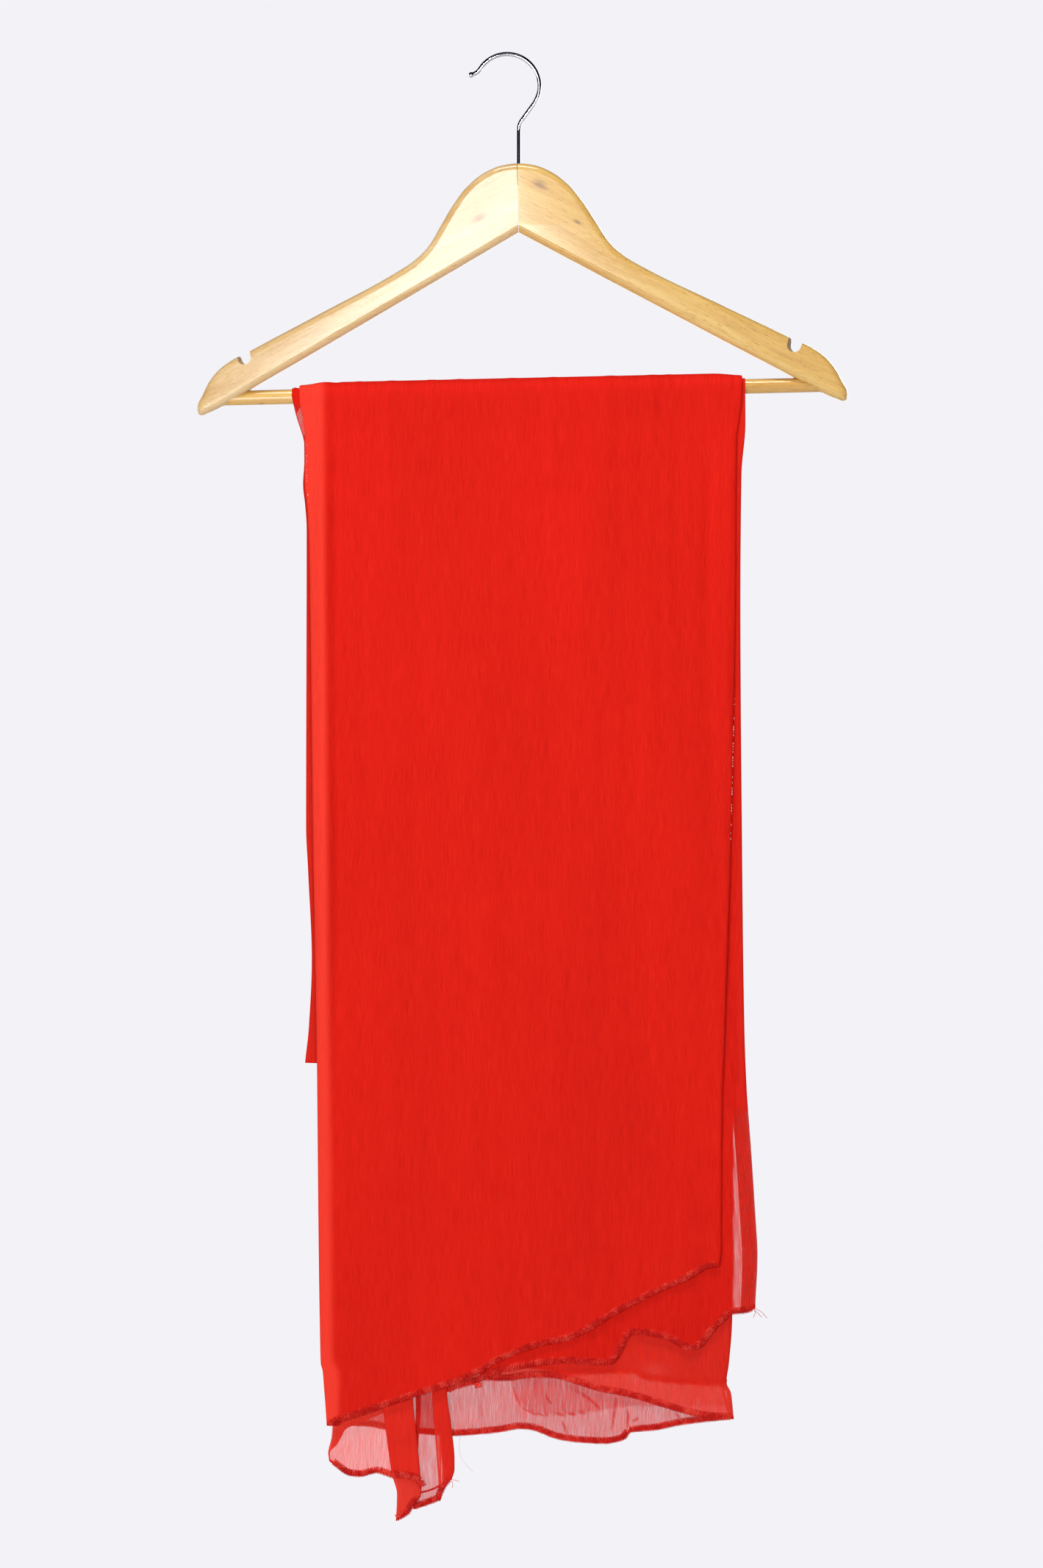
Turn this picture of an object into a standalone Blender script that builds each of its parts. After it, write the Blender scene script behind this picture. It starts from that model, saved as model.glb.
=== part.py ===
"""Dupatta stole of red chiffon, folded and hung over the bar of a wooden hanger.

Metres, +Z up. The origin is the inside top of the hook, where a rail carries the hanger, and the front of
the stole faces -Y. In the tables a height is written as `down`, the distance below the origin.
"""
import math
from collections import namedtuple

import bmesh
import bpy
import numpy as np
from mathutils import Vector

GAP = 0.0003              # between pieces that touch on the real object
CLOTH = 0.0014            # wall that stands for the chiffon
PITCH = CLOTH + GAP       # from one layer to the next

HANGER_WIDTH = 0.445      # tip to tip
HALF_WIDTH = HANGER_WIDTH / 2
APEX = Vector((0.00675, 0.0, -0.07325))   # top of the wood, in the middle
TILT = math.radians(1.3)  # the right arm hangs a little high
SWEEP = math.radians(4.5)  # each arm runs back from the middle
ARM_THICK = 0.014
ARM_ROUNDING = 0.003
NOTCH_WIDTH = 0.0068      # strap notch near each tip
NOTCH_AT = (0.1875, -0.1272)
BAR_RADIUS = 0.005
BAR_BELOW_APEX = 0.1541
BAR_HALF = 0.2060
SOCKET_AT = 0.197
WIRE_RADIUS = 0.0015
HOOK_RADIUS = 0.0218
BALL_RADIUS = 0.00195
SHANK_CLEAR = 0.0003
MITRE_BOX = 0.1           # cutter that ends each arm at the middle
BORE_LENGTH = 0.04        # cutter for the hook's hole, from its foot up past the wood

BAR_Y = SOCKET_AT * math.sin(SWEEP)
BAR_DOWN = -(APEX.z - BAR_BELOW_APEX - APEX.x * math.tan(TILT))
INNER_RADIUS = BAR_RADIUS + GAP + CLOTH / 2
OUTER_RADIUS = INNER_RADIUS + PITCH
ARC_STEPS = 6
RIDGE_RISE = 0.08         # a fold grows to its full height over this much of its length
RIDGE_FADE = 0.45         # share of a fold's length over which it dies away
LEAST_STEP = 0.003        # between sections across the cloth
UNDER_BAR = 0.006         # inner layers start this far below the bar's middle
BACK_SEAM = 0.004         # front and back stretches of the cloth meet this far down behind the bar

RED = (0.72, 0.02, 0.015, 1.0)
WOOD = (0.86, 0.68, 0.42, 1.0)
STEEL = (0.75, 0.75, 0.77, 1.0)

Knot = namedtuple("Knot", "x z corner")
ARM_OUTLINE = [
    Knot(-0.0060, 0.0000, True),
    Knot(0.0040, 0.0000, False),
    Knot(0.0180, -0.0035, False),
    Knot(0.0335, -0.0140, False),
    Knot(0.0438, -0.0265, False),
    Knot(0.0530, -0.0410, False),
    Knot(0.0616, -0.0545, False),
    Knot(0.0703, -0.0630, False),
    Knot(0.0836, -0.0715, False),
    Knot(0.1360, -0.0980, False),
    Knot(0.1813, -0.1205, False),
    Knot(0.2034, -0.1320, False),
    Knot(0.2126, -0.1410, False),
    Knot(0.2184, -0.1513, False),
    Knot(HALF_WIDTH, -0.1612, False),
    Knot(0.2206, -0.1652, False),
    Knot(0.2150, -0.1640, False),
    Knot(0.1770, -0.1439, False),
    Knot(0.0970, -0.1003, False),
    Knot(0.0000, -0.0468, False),
    Knot(-0.0060, -0.0435, True),
]

Bend = namedtuple("Bend", "run radius turn")
HOOK_BENDS = [
    Bend(0.0373, 0.012, -36),
    Bend(0.0130, HOOK_RADIUS, 184),
    Bend(0.0000, 0.008, -38),
]
HOOK_LAST_RUN = 0.002

Ridge = namedtuple("Ridge", "x half_width height top bottom")
FRONT_RIDGES = [
    Ridge(-0.1245, 0.0080, 0.0018, 0.000, 0.520),
    Ridge(-0.0850, 0.0280, 0.0010, 0.060, 0.640),
    Ridge(-0.0200, 0.0350, 0.0014, 0.150, 0.700),
    Ridge(0.0550, 0.0320, 0.0012, 0.040, 0.600),
    Ridge(0.1230, 0.0060, 0.0011, 0.000, 0.230),
    Ridge(0.1335, 0.0050, 0.0013, 0.000, 0.260),
    Ridge(0.1430, 0.0050, 0.0012, 0.000, 0.540),
]
SECOND_RIDGES = [
    Ridge(0.1640, 0.0055, 0.0010, 0.000, 0.600),
]
BACK_RIDGES = [
    Ridge(-0.1200, 0.0100, 0.0020, 0.004, 0.440),
    Ridge(-0.0600, 0.0300, 0.0014, 0.080, 0.480),
    Ridge(0.0100, 0.0340, 0.0012, 0.020, 0.380),
    Ridge(0.0820, 0.0280, 0.0016, 0.120, 0.480),
    Ridge(0.1380, 0.0090, 0.0016, 0.004, 0.420),
]

Edge = namedtuple("Edge", "down x")
Hem = namedtuple("Hem", "x down")
Layer = namedtuple("Layer", "left right hem")

FRONT_PANEL = Layer(
    left=[
        Edge(0.222, -0.1410), Edge(0.258, -0.1345), Edge(0.300, -0.1310), Edge(0.640, -0.1297),
        Edge(0.890, -0.1270), Edge(0.909, -0.1245), Edge(0.932, -0.1205),
    ],
    right=[
        Edge(0.222, 0.1500), Edge(0.258, 0.1555), Edge(0.375, 0.1555), Edge(0.549, 0.1520),
        Edge(0.655, 0.1483), Edge(0.735, 0.1460), Edge(0.812, 0.1457), Edge(0.822, 0.1438),
    ],
    hem=[
        Hem(-0.123, 0.9310), Hem(-0.102, 0.9235), Hem(-0.079, 0.9167), Hem(-0.066, 0.9108),
        Hem(-0.038, 0.9017), Hem(-0.011, 0.8900), Hem(0.005, 0.8827), Hem(0.021, 0.8753),
        Hem(0.037, 0.8722), Hem(0.053, 0.8667), Hem(0.084, 0.8492), Hem(0.117, 0.8340),
        Hem(0.137, 0.8222), Hem(0.144, 0.8225),
    ],
)
SECOND_LAYER = Layer(
    left=[
        Edge(0.226, -0.1470), Edge(0.240, -0.1440), Edge(0.258, -0.1385), Edge(0.330, -0.1280),
        Edge(0.860, -0.1240),
    ],
    right=[
        Edge(0.220, 0.1620), Edge(0.253, 0.1622), Edge(0.288, 0.1595), Edge(0.372, 0.1588),
        Edge(0.549, 0.1600), Edge(0.662, 0.1615), Edge(0.702, 0.1630), Edge(0.743, 0.1660),
        Edge(0.789, 0.1690), Edge(0.816, 0.1705), Edge(0.850, 0.1690),
    ],
    hem=[
        Hem(-0.1240, 0.8600), Hem(-0.0235, 0.8600), Hem(-0.0195, 0.8992), Hem(-0.0070, 0.8950),
        Hem(0.0125, 0.8918), Hem(0.0400, 0.8885), Hem(0.0640, 0.8902), Hem(0.0750, 0.8848),
        Hem(0.0825, 0.8697), Hem(0.1005, 0.8697), Hem(0.1277, 0.8792), Hem(0.1340, 0.8752),
        Hem(0.1420, 0.8637), Hem(0.1510, 0.8573), Hem(0.1590, 0.8540), Hem(0.1690, 0.8522),
    ],
)
THIRD_LAYER = Layer(
    left=[Edge(0.240, -0.1270), Edge(0.885, -0.1230)],
    right=[
        Edge(0.240, 0.1560), Edge(0.600, 0.1540), Edge(0.858, 0.1533), Edge(0.890, 0.1510),
        Edge(0.903, 0.1493), Edge(0.910, 0.1525), Edge(0.927, 0.1543),
    ],
    hem=[
        Hem(-0.1230, 0.8840), Hem(-0.0430, 0.8840), Hem(-0.0405, 0.9102), Hem(-0.0290, 0.9065),
        Hem(-0.0195, 0.9060), Hem(-0.0145, 0.9002), Hem(-0.0005, 0.9000), Hem(0.0188, 0.8975),
        Hem(0.0380, 0.8985), Hem(0.0525, 0.9027), Hem(0.0705, 0.9080), Hem(0.0925, 0.9142),
        Hem(0.1145, 0.9207), Hem(0.1365, 0.9260), Hem(0.1543, 0.9268),
    ],
)
FOURTH_LAYER = Layer(
    left=[Edge(0.240, -0.1260), Edge(0.932, -0.1190)],
    right=[Edge(0.240, 0.1545), Edge(0.858, 0.1520), Edge(0.928, 0.1535)],
    hem=[
        Hem(-0.1190, 0.9318), Hem(-0.0945, 0.9308), Hem(-0.0830, 0.9342), Hem(-0.0615, 0.9370),
        Hem(-0.0385, 0.9387), Hem(-0.0100, 0.9367), Hem(0.0075, 0.9345), Hem(0.0250, 0.9378),
        Hem(0.0445, 0.9422), Hem(0.0635, 0.9436), Hem(0.0815, 0.9392), Hem(0.1035, 0.9352),
        Hem(0.1255, 0.9302), Hem(0.1535, 0.9275),
    ],
)
CORNER_FLAP = Layer(
    left=[Edge(0.8843, -0.1180), Edge(0.939, -0.1195), Edge(0.951, -0.1220), Edge(0.957, -0.1210)],
    right=[Edge(0.8843, -0.0643), Edge(0.970, -0.0643)],
    hem=[
        Hem(-0.1210, 0.9568), Hem(-0.1172, 0.9597), Hem(-0.1080, 0.9658), Hem(-0.1000, 0.9667),
        Hem(-0.0890, 0.9642), Hem(-0.0780, 0.9675), Hem(-0.0643, 0.9690),
    ],
)
TAIL_GORE = Layer(
    left=[Edge(0.8843, -0.0640), Edge(0.990, -0.0640)],
    right=[Edge(0.8843, -0.0455), Edge(0.990, -0.0450)],
    hem=[Hem(-0.0640, 0.9893), Hem(-0.0530, 0.9855), Hem(-0.0450, 0.9825)],
)
LEFT_STRIP = Layer(
    left=[
        Edge(0.8603, -0.0860), Edge(0.919, -0.0845), Edge(0.940, -0.0820), Edge(0.965, -0.0785),
        Edge(0.979, -0.0750), Edge(0.997, -0.0757),
    ],
    right=[
        Edge(0.8603, -0.0660), Edge(0.915, -0.0642), Edge(0.938, -0.0620), Edge(0.963, -0.0595),
        Edge(0.976, -0.0585), Edge(0.981, -0.0592),
    ],
    hem=[
        Hem(-0.0757, 0.9972), Hem(-0.0722, 0.9952), Hem(-0.0670, 0.9917), Hem(-0.0635, 0.9857),
        Hem(-0.0592, 0.9808),
    ],
)
RIGHT_STRIP = Layer(
    left=[
        Edge(0.8603, -0.0525), Edge(0.913, -0.0510), Edge(0.940, -0.0490), Edge(0.966, -0.0470),
        Edge(0.984, -0.0460),
    ],
    right=[
        Edge(0.8603, -0.0425), Edge(0.911, -0.0410), Edge(0.934, -0.0380), Edge(0.956, -0.0360),
        Edge(0.962, -0.0360), Edge(0.969, -0.0380),
    ],
    hem=[Hem(-0.0460, 0.9837), Hem(-0.0440, 0.9782), Hem(-0.0415, 0.9732), Hem(-0.0380, 0.9688)],
)
BACK_FALL = Layer(
    left=[
        Edge(0.226, -0.1470), Edge(0.240, -0.1440), Edge(0.258, -0.1387), Edge(0.312, -0.1370),
        Edge(0.523, -0.1374), Edge(0.554, -0.1360), Edge(0.615, -0.1335), Edge(0.661, -0.1355),
        Edge(0.684, -0.1380),
    ],
    right=[Edge(0.222, 0.1560), Edge(0.400, 0.1570), Edge(0.680, 0.1545)],
    hem=[
        Hem(-0.1380, 0.6845), Hem(-0.0900, 0.6858), Hem(0.0000, 0.6880), Hem(0.0900, 0.6895),
        Hem(0.1545, 0.6870),
    ],
)
FALL_DROPS = [0.020, 0.050, 0.090, 0.140, 0.200, 0.270, 0.350, 0.430, 0.510, 0.580]
BACK_DROPS = [BACK_SEAM + GAP, 0.030, 0.080, 0.150, 0.240, 0.340, 0.420]
INNER_DROPS = [UNDER_BAR, 0.100, 0.300, 0.500, 0.600]


def clear_scene():
    for obj in list(bpy.data.objects):
        bpy.data.objects.remove(obj, do_unlink=True)


def new_collection(name, hidden=False):
    collection = bpy.data.collections.new(name)
    bpy.context.scene.collection.children.link(collection)
    collection.hide_render = hidden
    return collection


def finish(obj, colour, roughness, metallic=0.0):
    """Gives the object a Principled material of its own."""
    material = bpy.data.materials.new(obj.name + "_finish")
    material.use_nodes = True
    shader = material.node_tree.nodes["Principled BSDF"]
    shader.inputs["Base Color"].default_value = colour
    shader.inputs["Roughness"].default_value = roughness
    shader.inputs["Metallic"].default_value = metallic
    obj.data.materials.append(material)


def object_from(bm, name, collection):
    mesh = bpy.data.meshes.new(name)
    bm.to_mesh(mesh)
    bm.free()
    obj = bpy.data.objects.new(name, mesh)
    collection.objects.link(obj)
    return obj


def meshed(curve_object, collection):
    """Replaces a curve object by a closed mesh of the same form."""
    graph = bpy.context.evaluated_depsgraph_get()
    mesh = bpy.data.meshes.new_from_object(curve_object.evaluated_get(graph))
    bm = bmesh.new()
    bm.from_mesh(mesh)
    bpy.data.meshes.remove(mesh)
    bmesh.ops.remove_doubles(bm, verts=bm.verts, dist=1e-6)
    bmesh.ops.recalc_face_normals(bm, faces=bm.faces)
    name = curve_object.name
    bpy.data.objects.remove(curve_object, do_unlink=True)
    return object_from(bm, name, collection)


def combine(obj, other, operation):
    modifier = obj.modifiers.new(other.name, "BOOLEAN")
    modifier.operation = operation
    modifier.object = other


def cutter(obj):
    obj.hide_render = True
    obj.display_type = "WIRE"
    return obj


def cylinder_cutter(name, radius, length, segments=24):
    """A cylinder along its own Z axis, centred on its origin."""
    bm = bmesh.new()
    bmesh.ops.create_cone(
        bm, cap_ends=True, segments=segments, radius1=radius, radius2=radius, depth=length
    )
    return cutter(object_from(bm, name, CUTTERS))


# The hanger


def make_arm(name, side):
    """One wooden half: a flat outline with rounded edges, swept back from the middle. side is -1 or 1."""
    knots = ARM_OUTLINE if side > 0 else ARM_OUTLINE[::-1]
    curve = bpy.data.curves.new(name, "CURVE")
    curve.dimensions = "2D"
    curve.fill_mode = "BOTH"
    curve.extrude = ARM_THICK / 2 - ARM_ROUNDING
    curve.bevel_depth = ARM_ROUNDING
    curve.bevel_resolution = 1
    curve.offset = -ARM_ROUNDING
    curve.resolution_u = 3
    spline = curve.splines.new("BEZIER")
    spline.bezier_points.add(len(knots) - 1)
    spline.use_cyclic_u = True
    for point, knot in zip(spline.bezier_points, knots):
        point.co = (side * knot.x, knot.z, 0)
        handle = "VECTOR" if knot.corner else "AUTO"
        point.handle_left_type = handle
        point.handle_right_type = handle
    obj = bpy.data.objects.new(name, curve)
    PARTS.objects.link(obj)
    arm = meshed(obj, PARTS)
    arm.parent = HANGER
    arm.rotation_euler = (math.pi / 2, 0, side * SWEEP)

    bm = bmesh.new()
    bmesh.ops.create_cube(bm, size=MITRE_BOX)
    mitre = cutter(object_from(bm, name + "_mitre", CUTTERS))
    mitre.parent = HANGER
    mitre.location.x = -side * (MITRE_BOX - GAP) / 2
    combine(arm, mitre, "DIFFERENCE")

    notch = cylinder_cutter(name + "_notch", NOTCH_WIDTH / 2, 4 * ARM_THICK)
    for vertex in notch.data.vertices:
        if vertex.co.y > 0:
            vertex.co.y += NOTCH_WIDTH * 2
    notch.parent = HANGER
    notch.rotation_euler.x = math.pi / 2
    notch.location = (side * NOTCH_AT[0], BAR_Y, NOTCH_AT[1])
    combine(arm, notch, "DIFFERENCE")

    socket = cylinder_cutter(name + "_socket", BAR_RADIUS + GAP, 2 * (BAR_HALF + GAP))
    socket.parent = HANGER
    socket.rotation_euler.y = math.pi / 2
    socket.location = (0, BAR_Y, -BAR_BELOW_APEX)
    combine(arm, socket, "DIFFERENCE")
    combine(arm, HOOK_BORE, "DIFFERENCE")
    finish(arm, WOOD, 0.25)
    return arm


def make_bar():
    bm = bmesh.new()
    bmesh.ops.create_cone(
        bm, cap_ends=True, segments=24, radius1=BAR_RADIUS, radius2=BAR_RADIUS, depth=2 * BAR_HALF
    )
    bar = object_from(bm, "bar", PARTS)
    bar.parent = HANGER
    bar.rotation_euler.y = math.pi / 2
    bar.location = (0, BAR_Y, -BAR_BELOW_APEX)
    bar.data.shade_smooth()
    finish(bar, WOOD, 0.3)


def hook_route():
    """Centre line of the bent wire from its foot to the ball, as a wire bender would lay it out."""
    place = Vector((0.0, 0.0))
    heading = math.pi / 2
    points = [place.copy()]
    for bend in HOOK_BENDS:
        place = place + bend.run * Vector((math.cos(heading), math.sin(heading)))
        turn = math.radians(bend.turn)
        side = math.copysign(1.0, turn)
        to_centre = side * Vector((-math.sin(heading), math.cos(heading)))
        centre = place + bend.radius * to_centre
        steps = max(3, round(abs(bend.turn) / 9))
        if bend.run > 0:
            points.append(place.copy())
        for step in range(1, steps + 1):
            angle = heading + turn * step / steps
            outward = side * Vector((math.sin(angle), -math.cos(angle)))
            points.append(centre + bend.radius * outward)
        heading += turn
        place = points[-1].copy()
        if bend.radius == HOOK_RADIUS:
            main_centre = centre
    points.append(place + HOOK_LAST_RUN * Vector((math.cos(heading), math.sin(heading))))
    shift = Vector((0.0, WIRE_RADIUS - HOOK_RADIUS)) - main_centre
    return [Vector((p.x + shift.x, 0.0, p.y + shift.y)) for p in points]


def make_hook(route):
    curve = bpy.data.curves.new("hook", "CURVE")
    curve.dimensions = "3D"
    curve.bevel_depth = WIRE_RADIUS
    curve.bevel_resolution = 2
    curve.use_fill_caps = True
    spline = curve.splines.new("POLY")
    spline.points.add(len(route) - 1)
    for point, place in zip(spline.points, route):
        point.co = (*place, 1)
    obj = bpy.data.objects.new("hook", curve)
    PARTS.objects.link(obj)
    hook = meshed(obj, PARTS)
    bm = bmesh.new()
    bmesh.ops.create_uvsphere(bm, u_segments=12, v_segments=8, radius=BALL_RADIUS)
    ball = cutter(object_from(bm, "hook_ball", CUTTERS))
    ball.location = route[-1]
    combine(hook, ball, "UNION")
    hook.data.shade_smooth()
    finish(hook, STEEL, 0.12, 1.0)


# The cloth


def bar_height(x):
    return x * math.tan(TILT) - BAR_DOWN


def edge_x(edge, down):
    return float(np.interp(down, [row.down for row in edge], [row.x for row in edge]))


def hem_down(hem, x):
    return float(np.interp(x, [row.x for row in hem], [row.down for row in hem]))


def relief(ridges, x, drop):
    """How far the soft folds stand proud at x, drop below the bar."""
    total = 0.0
    for ridge in ridges:
        across = (x - ridge.x) / ridge.half_width
        if abs(across) >= 1 or drop >= ridge.bottom:
            continue
        rise = 1.0 if ridge.top == 0 else min(1.0, max(0.0, drop - ridge.top) / RIDGE_RISE)
        fade = min(1.0, (ridge.bottom - drop) / (RIDGE_FADE * (ridge.bottom - ridge.top)))
        total += ridge.height * math.cos(across * math.pi / 2) ** 2 * rise * fade
    return total


def stations(hem, ridges, widest):
    """Places across the cloth for its sections: at the hem's corners, on the folds, and evenly between."""
    first, last = hem[0].x, hem[-1].x
    corners = {row.x for row in hem}
    wanted = set(corners)
    for ridge in ridges:
        for part in (-1, -0.5, 0, 0.5, 1):
            place = round(ridge.x + part * ridge.half_width, 5)
            if first < place < last:
                wanted.add(place)
    kept = [first]
    for place in sorted(wanted)[1:]:
        if place - kept[-1] < LEAST_STEP and place not in corners:
            continue
        spaces = max(1, math.ceil((place - kept[-1]) / widest))
        start = kept[-1]
        kept += [start + (place - start) * k / spaces for k in range(1, spaces + 1)]
    return kept


def across_at(layer, station, down):
    """x at this height of the section that ends at station on the hem."""
    first, last = layer.hem[0].x, layer.hem[-1].x
    share = (station - first) / (last - first)
    left, right = edge_x(layer.left, down), edge_x(layer.right, down)
    return left + share * (right - left)


def fall_points(layer, station, depth, drops, ridges, side):
    """Points down one section of a layer that hangs depth from the bar's middle. side is -1 in front."""
    points = []
    end = hem_down(layer.hem, station)
    for drop in drops:
        down = BAR_DOWN + drop
        x = across_at(layer, station, down)
        y = BAR_Y + side * (depth + relief(ridges, x, drop))
        points.append(Vector((x, y, bar_height(x) - drop)))
    if drops:
        last_down = -points[-1].z
        shares = (0.35, 0.7, 1.0)
    else:
        last_down = layer.left[0].down
        shares = (0.0, 0.2, 0.4, 0.6, 0.8, 1.0)
    for share in shares:
        down = last_down + share * (end - last_down)
        x = across_at(layer, station, down)
        drop = down + bar_height(x)
        y = BAR_Y + side * (depth + relief(ridges, x, drop))
        points.append(Vector((x, y, -down)))
    return points


def over_bar_points(layer, station, radius, ridges):
    """Points over the bar, from its back to its front."""
    x = across_at(layer, station, BAR_DOWN)
    points = [Vector((x, BAR_Y + radius, bar_height(x) - BACK_SEAM))]
    for step in range(ARC_STEPS + 1):
        turned = math.pi * step / ARC_STEPS
        out = radius + relief(ridges, x, 0.0) * step / ARC_STEPS
        points.append(
            Vector((x, BAR_Y + out * math.cos(turned), bar_height(x) + out * math.sin(turned)))
        )
    return points


def cloth_wall(name, sections):
    """A wall of cloth through sections that run across it, each a line of points from top to hem."""
    columns, rows = len(sections), len(sections[0])
    bm = bmesh.new()
    bmesh.ops.create_grid(bm, x_segments=columns - 1, y_segments=rows - 1, size=0.5)
    for vertex in bm.verts:
        column = round((vertex.co.x + 0.5) * (columns - 1))
        row = round((vertex.co.y + 0.5) * (rows - 1))
        vertex.co = sections[column][row]
    wall = object_from(bm, name, PARTS)
    solidify = wall.modifiers.new("thickness", "SOLIDIFY")
    solidify.thickness = CLOTH
    solidify.offset = 0
    solidify.use_even_offset = True
    wall.data.shade_smooth()
    finish(wall, RED, 0.75)


def make_layer_over_bar(name, layer, radius, ridges, widest):
    sections = []
    for station in stations(layer.hem, ridges, widest):
        section = over_bar_points(layer, station, radius, ridges)
        section += fall_points(layer, station, radius, FALL_DROPS, ridges, -1)
        sections.append(section)
    cloth_wall(name, sections)


def make_inner_layer(name, layer, depth, widest, drops=INNER_DROPS):
    sections = [
        fall_points(layer, station, depth, drops, [], -1)
        for station in stations(layer.hem, [], widest)
    ]
    cloth_wall(name, sections)


def make_back_fall():
    """The back: down outside, round the fold at mid length, and up again inside."""
    turn_radius = PITCH / 2
    sections = []
    for station in stations(BACK_FALL.hem, BACK_RIDGES, 0.018):
        outer = fall_points(BACK_FALL, station, OUTER_RADIUS, BACK_DROPS, BACK_RIDGES, 1)
        inner = [point - Vector((0, PITCH, 0)) for point in outer]
        centre = (outer[-1] + inner[-1]) / 2
        turn = [
            centre + turn_radius * Vector((0, math.cos(angle), -math.sin(angle)))
            for angle in (math.pi / 4, math.pi / 2, 3 * math.pi / 4)
        ]
        sections.append(outer + turn + inner[::-1])
    cloth_wall("back_fall", sections)


clear_scene()
PARTS = new_collection("dupatta_stole")
CUTTERS = new_collection("cutters", hidden=True)
HANGER = bpy.data.objects.new("hanger_frame", None)
HANGER.location = APEX
HANGER.rotation_euler.y = -TILT
PARTS.objects.link(HANGER)

HOOK_ROUTE = hook_route()
HOOK_BORE = cylinder_cutter("hook_bore", WIRE_RADIUS + SHANK_CLEAR, BORE_LENGTH, 16)
HOOK_BORE.location = HOOK_ROUTE[0] + Vector((0, 0, BORE_LENGTH / 2 - SHANK_CLEAR))

make_hook(HOOK_ROUTE)
make_arm("left_arm", -1)
make_arm("right_arm", 1)
make_bar()

make_layer_over_bar("front_panel", FRONT_PANEL, OUTER_RADIUS, FRONT_RIDGES, 0.012)
make_layer_over_bar("second_layer", SECOND_LAYER, INNER_RADIUS, SECOND_RIDGES, 0.016)
make_inner_layer("third_layer", THIRD_LAYER, INNER_RADIUS - PITCH, 0.020)
make_inner_layer("fourth_layer", FOURTH_LAYER, INNER_RADIUS - 2 * PITCH, 0.022)
make_inner_layer("corner_flap", CORNER_FLAP, INNER_RADIUS - PITCH, 0.012, ())
make_inner_layer("tail_gore", TAIL_GORE, INNER_RADIUS - PITCH, 0.012, ())
make_inner_layer("left_strip", LEFT_STRIP, INNER_RADIUS, 0.008, ())
make_inner_layer("right_strip", RIGHT_STRIP, INNER_RADIUS, 0.008, ())
make_back_fall()
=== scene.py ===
# %% [markdown]
# # A chiffon dupatta stole on a wooden hanger
#
# The object is one long piece of red chiffon, folded lengthwise and laid over the bar of a wooden hanger.
# Nothing holds it but its own weight. We dress a finished frame of plain solids: each solid says where a
# piece sits, and here each one gets its real surface. First we load that frame.

import math
from collections import namedtuple

import bmesh
import bpy
import numpy as np
from mathutils import Euler, Matrix, Vector


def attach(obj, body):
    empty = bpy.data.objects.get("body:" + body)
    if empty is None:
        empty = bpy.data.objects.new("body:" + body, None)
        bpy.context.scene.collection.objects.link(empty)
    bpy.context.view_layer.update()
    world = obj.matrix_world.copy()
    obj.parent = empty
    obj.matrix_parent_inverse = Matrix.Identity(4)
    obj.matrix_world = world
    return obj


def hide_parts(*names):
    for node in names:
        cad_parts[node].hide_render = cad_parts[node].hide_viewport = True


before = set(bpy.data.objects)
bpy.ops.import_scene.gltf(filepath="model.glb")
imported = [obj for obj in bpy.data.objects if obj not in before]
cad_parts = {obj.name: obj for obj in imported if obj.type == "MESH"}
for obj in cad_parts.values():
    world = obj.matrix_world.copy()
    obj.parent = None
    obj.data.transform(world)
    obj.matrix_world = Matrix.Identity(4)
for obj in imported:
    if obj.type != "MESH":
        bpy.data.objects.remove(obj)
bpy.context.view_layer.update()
print("nodes in the frame:", sorted(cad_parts))

# %% [markdown]
# ## The camera
#
# The photograph is upright and looks straight at the stole with almost no perspective. A long lens gives
# that. We choose the lens first and then work out how far back it has to stand to see the picture's height.

# %% Set up the camera
PHOTO_HEIGHT = 2133
PIXEL = 0.0005                     # one pixel of the photograph on the object, from the hanger's width
VIEW_MIDDLE = (0.00975, -0.495)    # x and z in the middle of the picture
LENS = 180.0
FILM_HEIGHT = 36.0


def into_scene(name, data):
    """Makes an object from its data and puts it into the scene."""
    obj = bpy.data.objects.new(name, data)
    bpy.context.scene.collection.objects.link(obj)
    return obj


camera_distance = PHOTO_HEIGHT * PIXEL * LENS / FILM_HEIGHT
camera_data = bpy.data.cameras.new("studio_camera")
camera_data.lens = LENS
camera_data.sensor_fit = "VERTICAL"
camera_data.sensor_height = FILM_HEIGHT
camera = into_scene("studio_camera", camera_data)
camera.location = (VIEW_MIDDLE[0], -camera_distance, VIEW_MIDDLE[1])
camera.rotation_euler = (math.pi / 2, 0, 0)
bpy.context.scene.camera = camera
print(f"the camera stands {camera_distance:.2f} m away")

# %% [markdown]
# ## Node trees in a few lines
#
# Light, materials and thread are all built from nodes here. A small class keeps that readable: it makes a
# node, sets its fixed numbers, and joins its sockets to others in one call.

# %% Helpers for nodes


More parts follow.
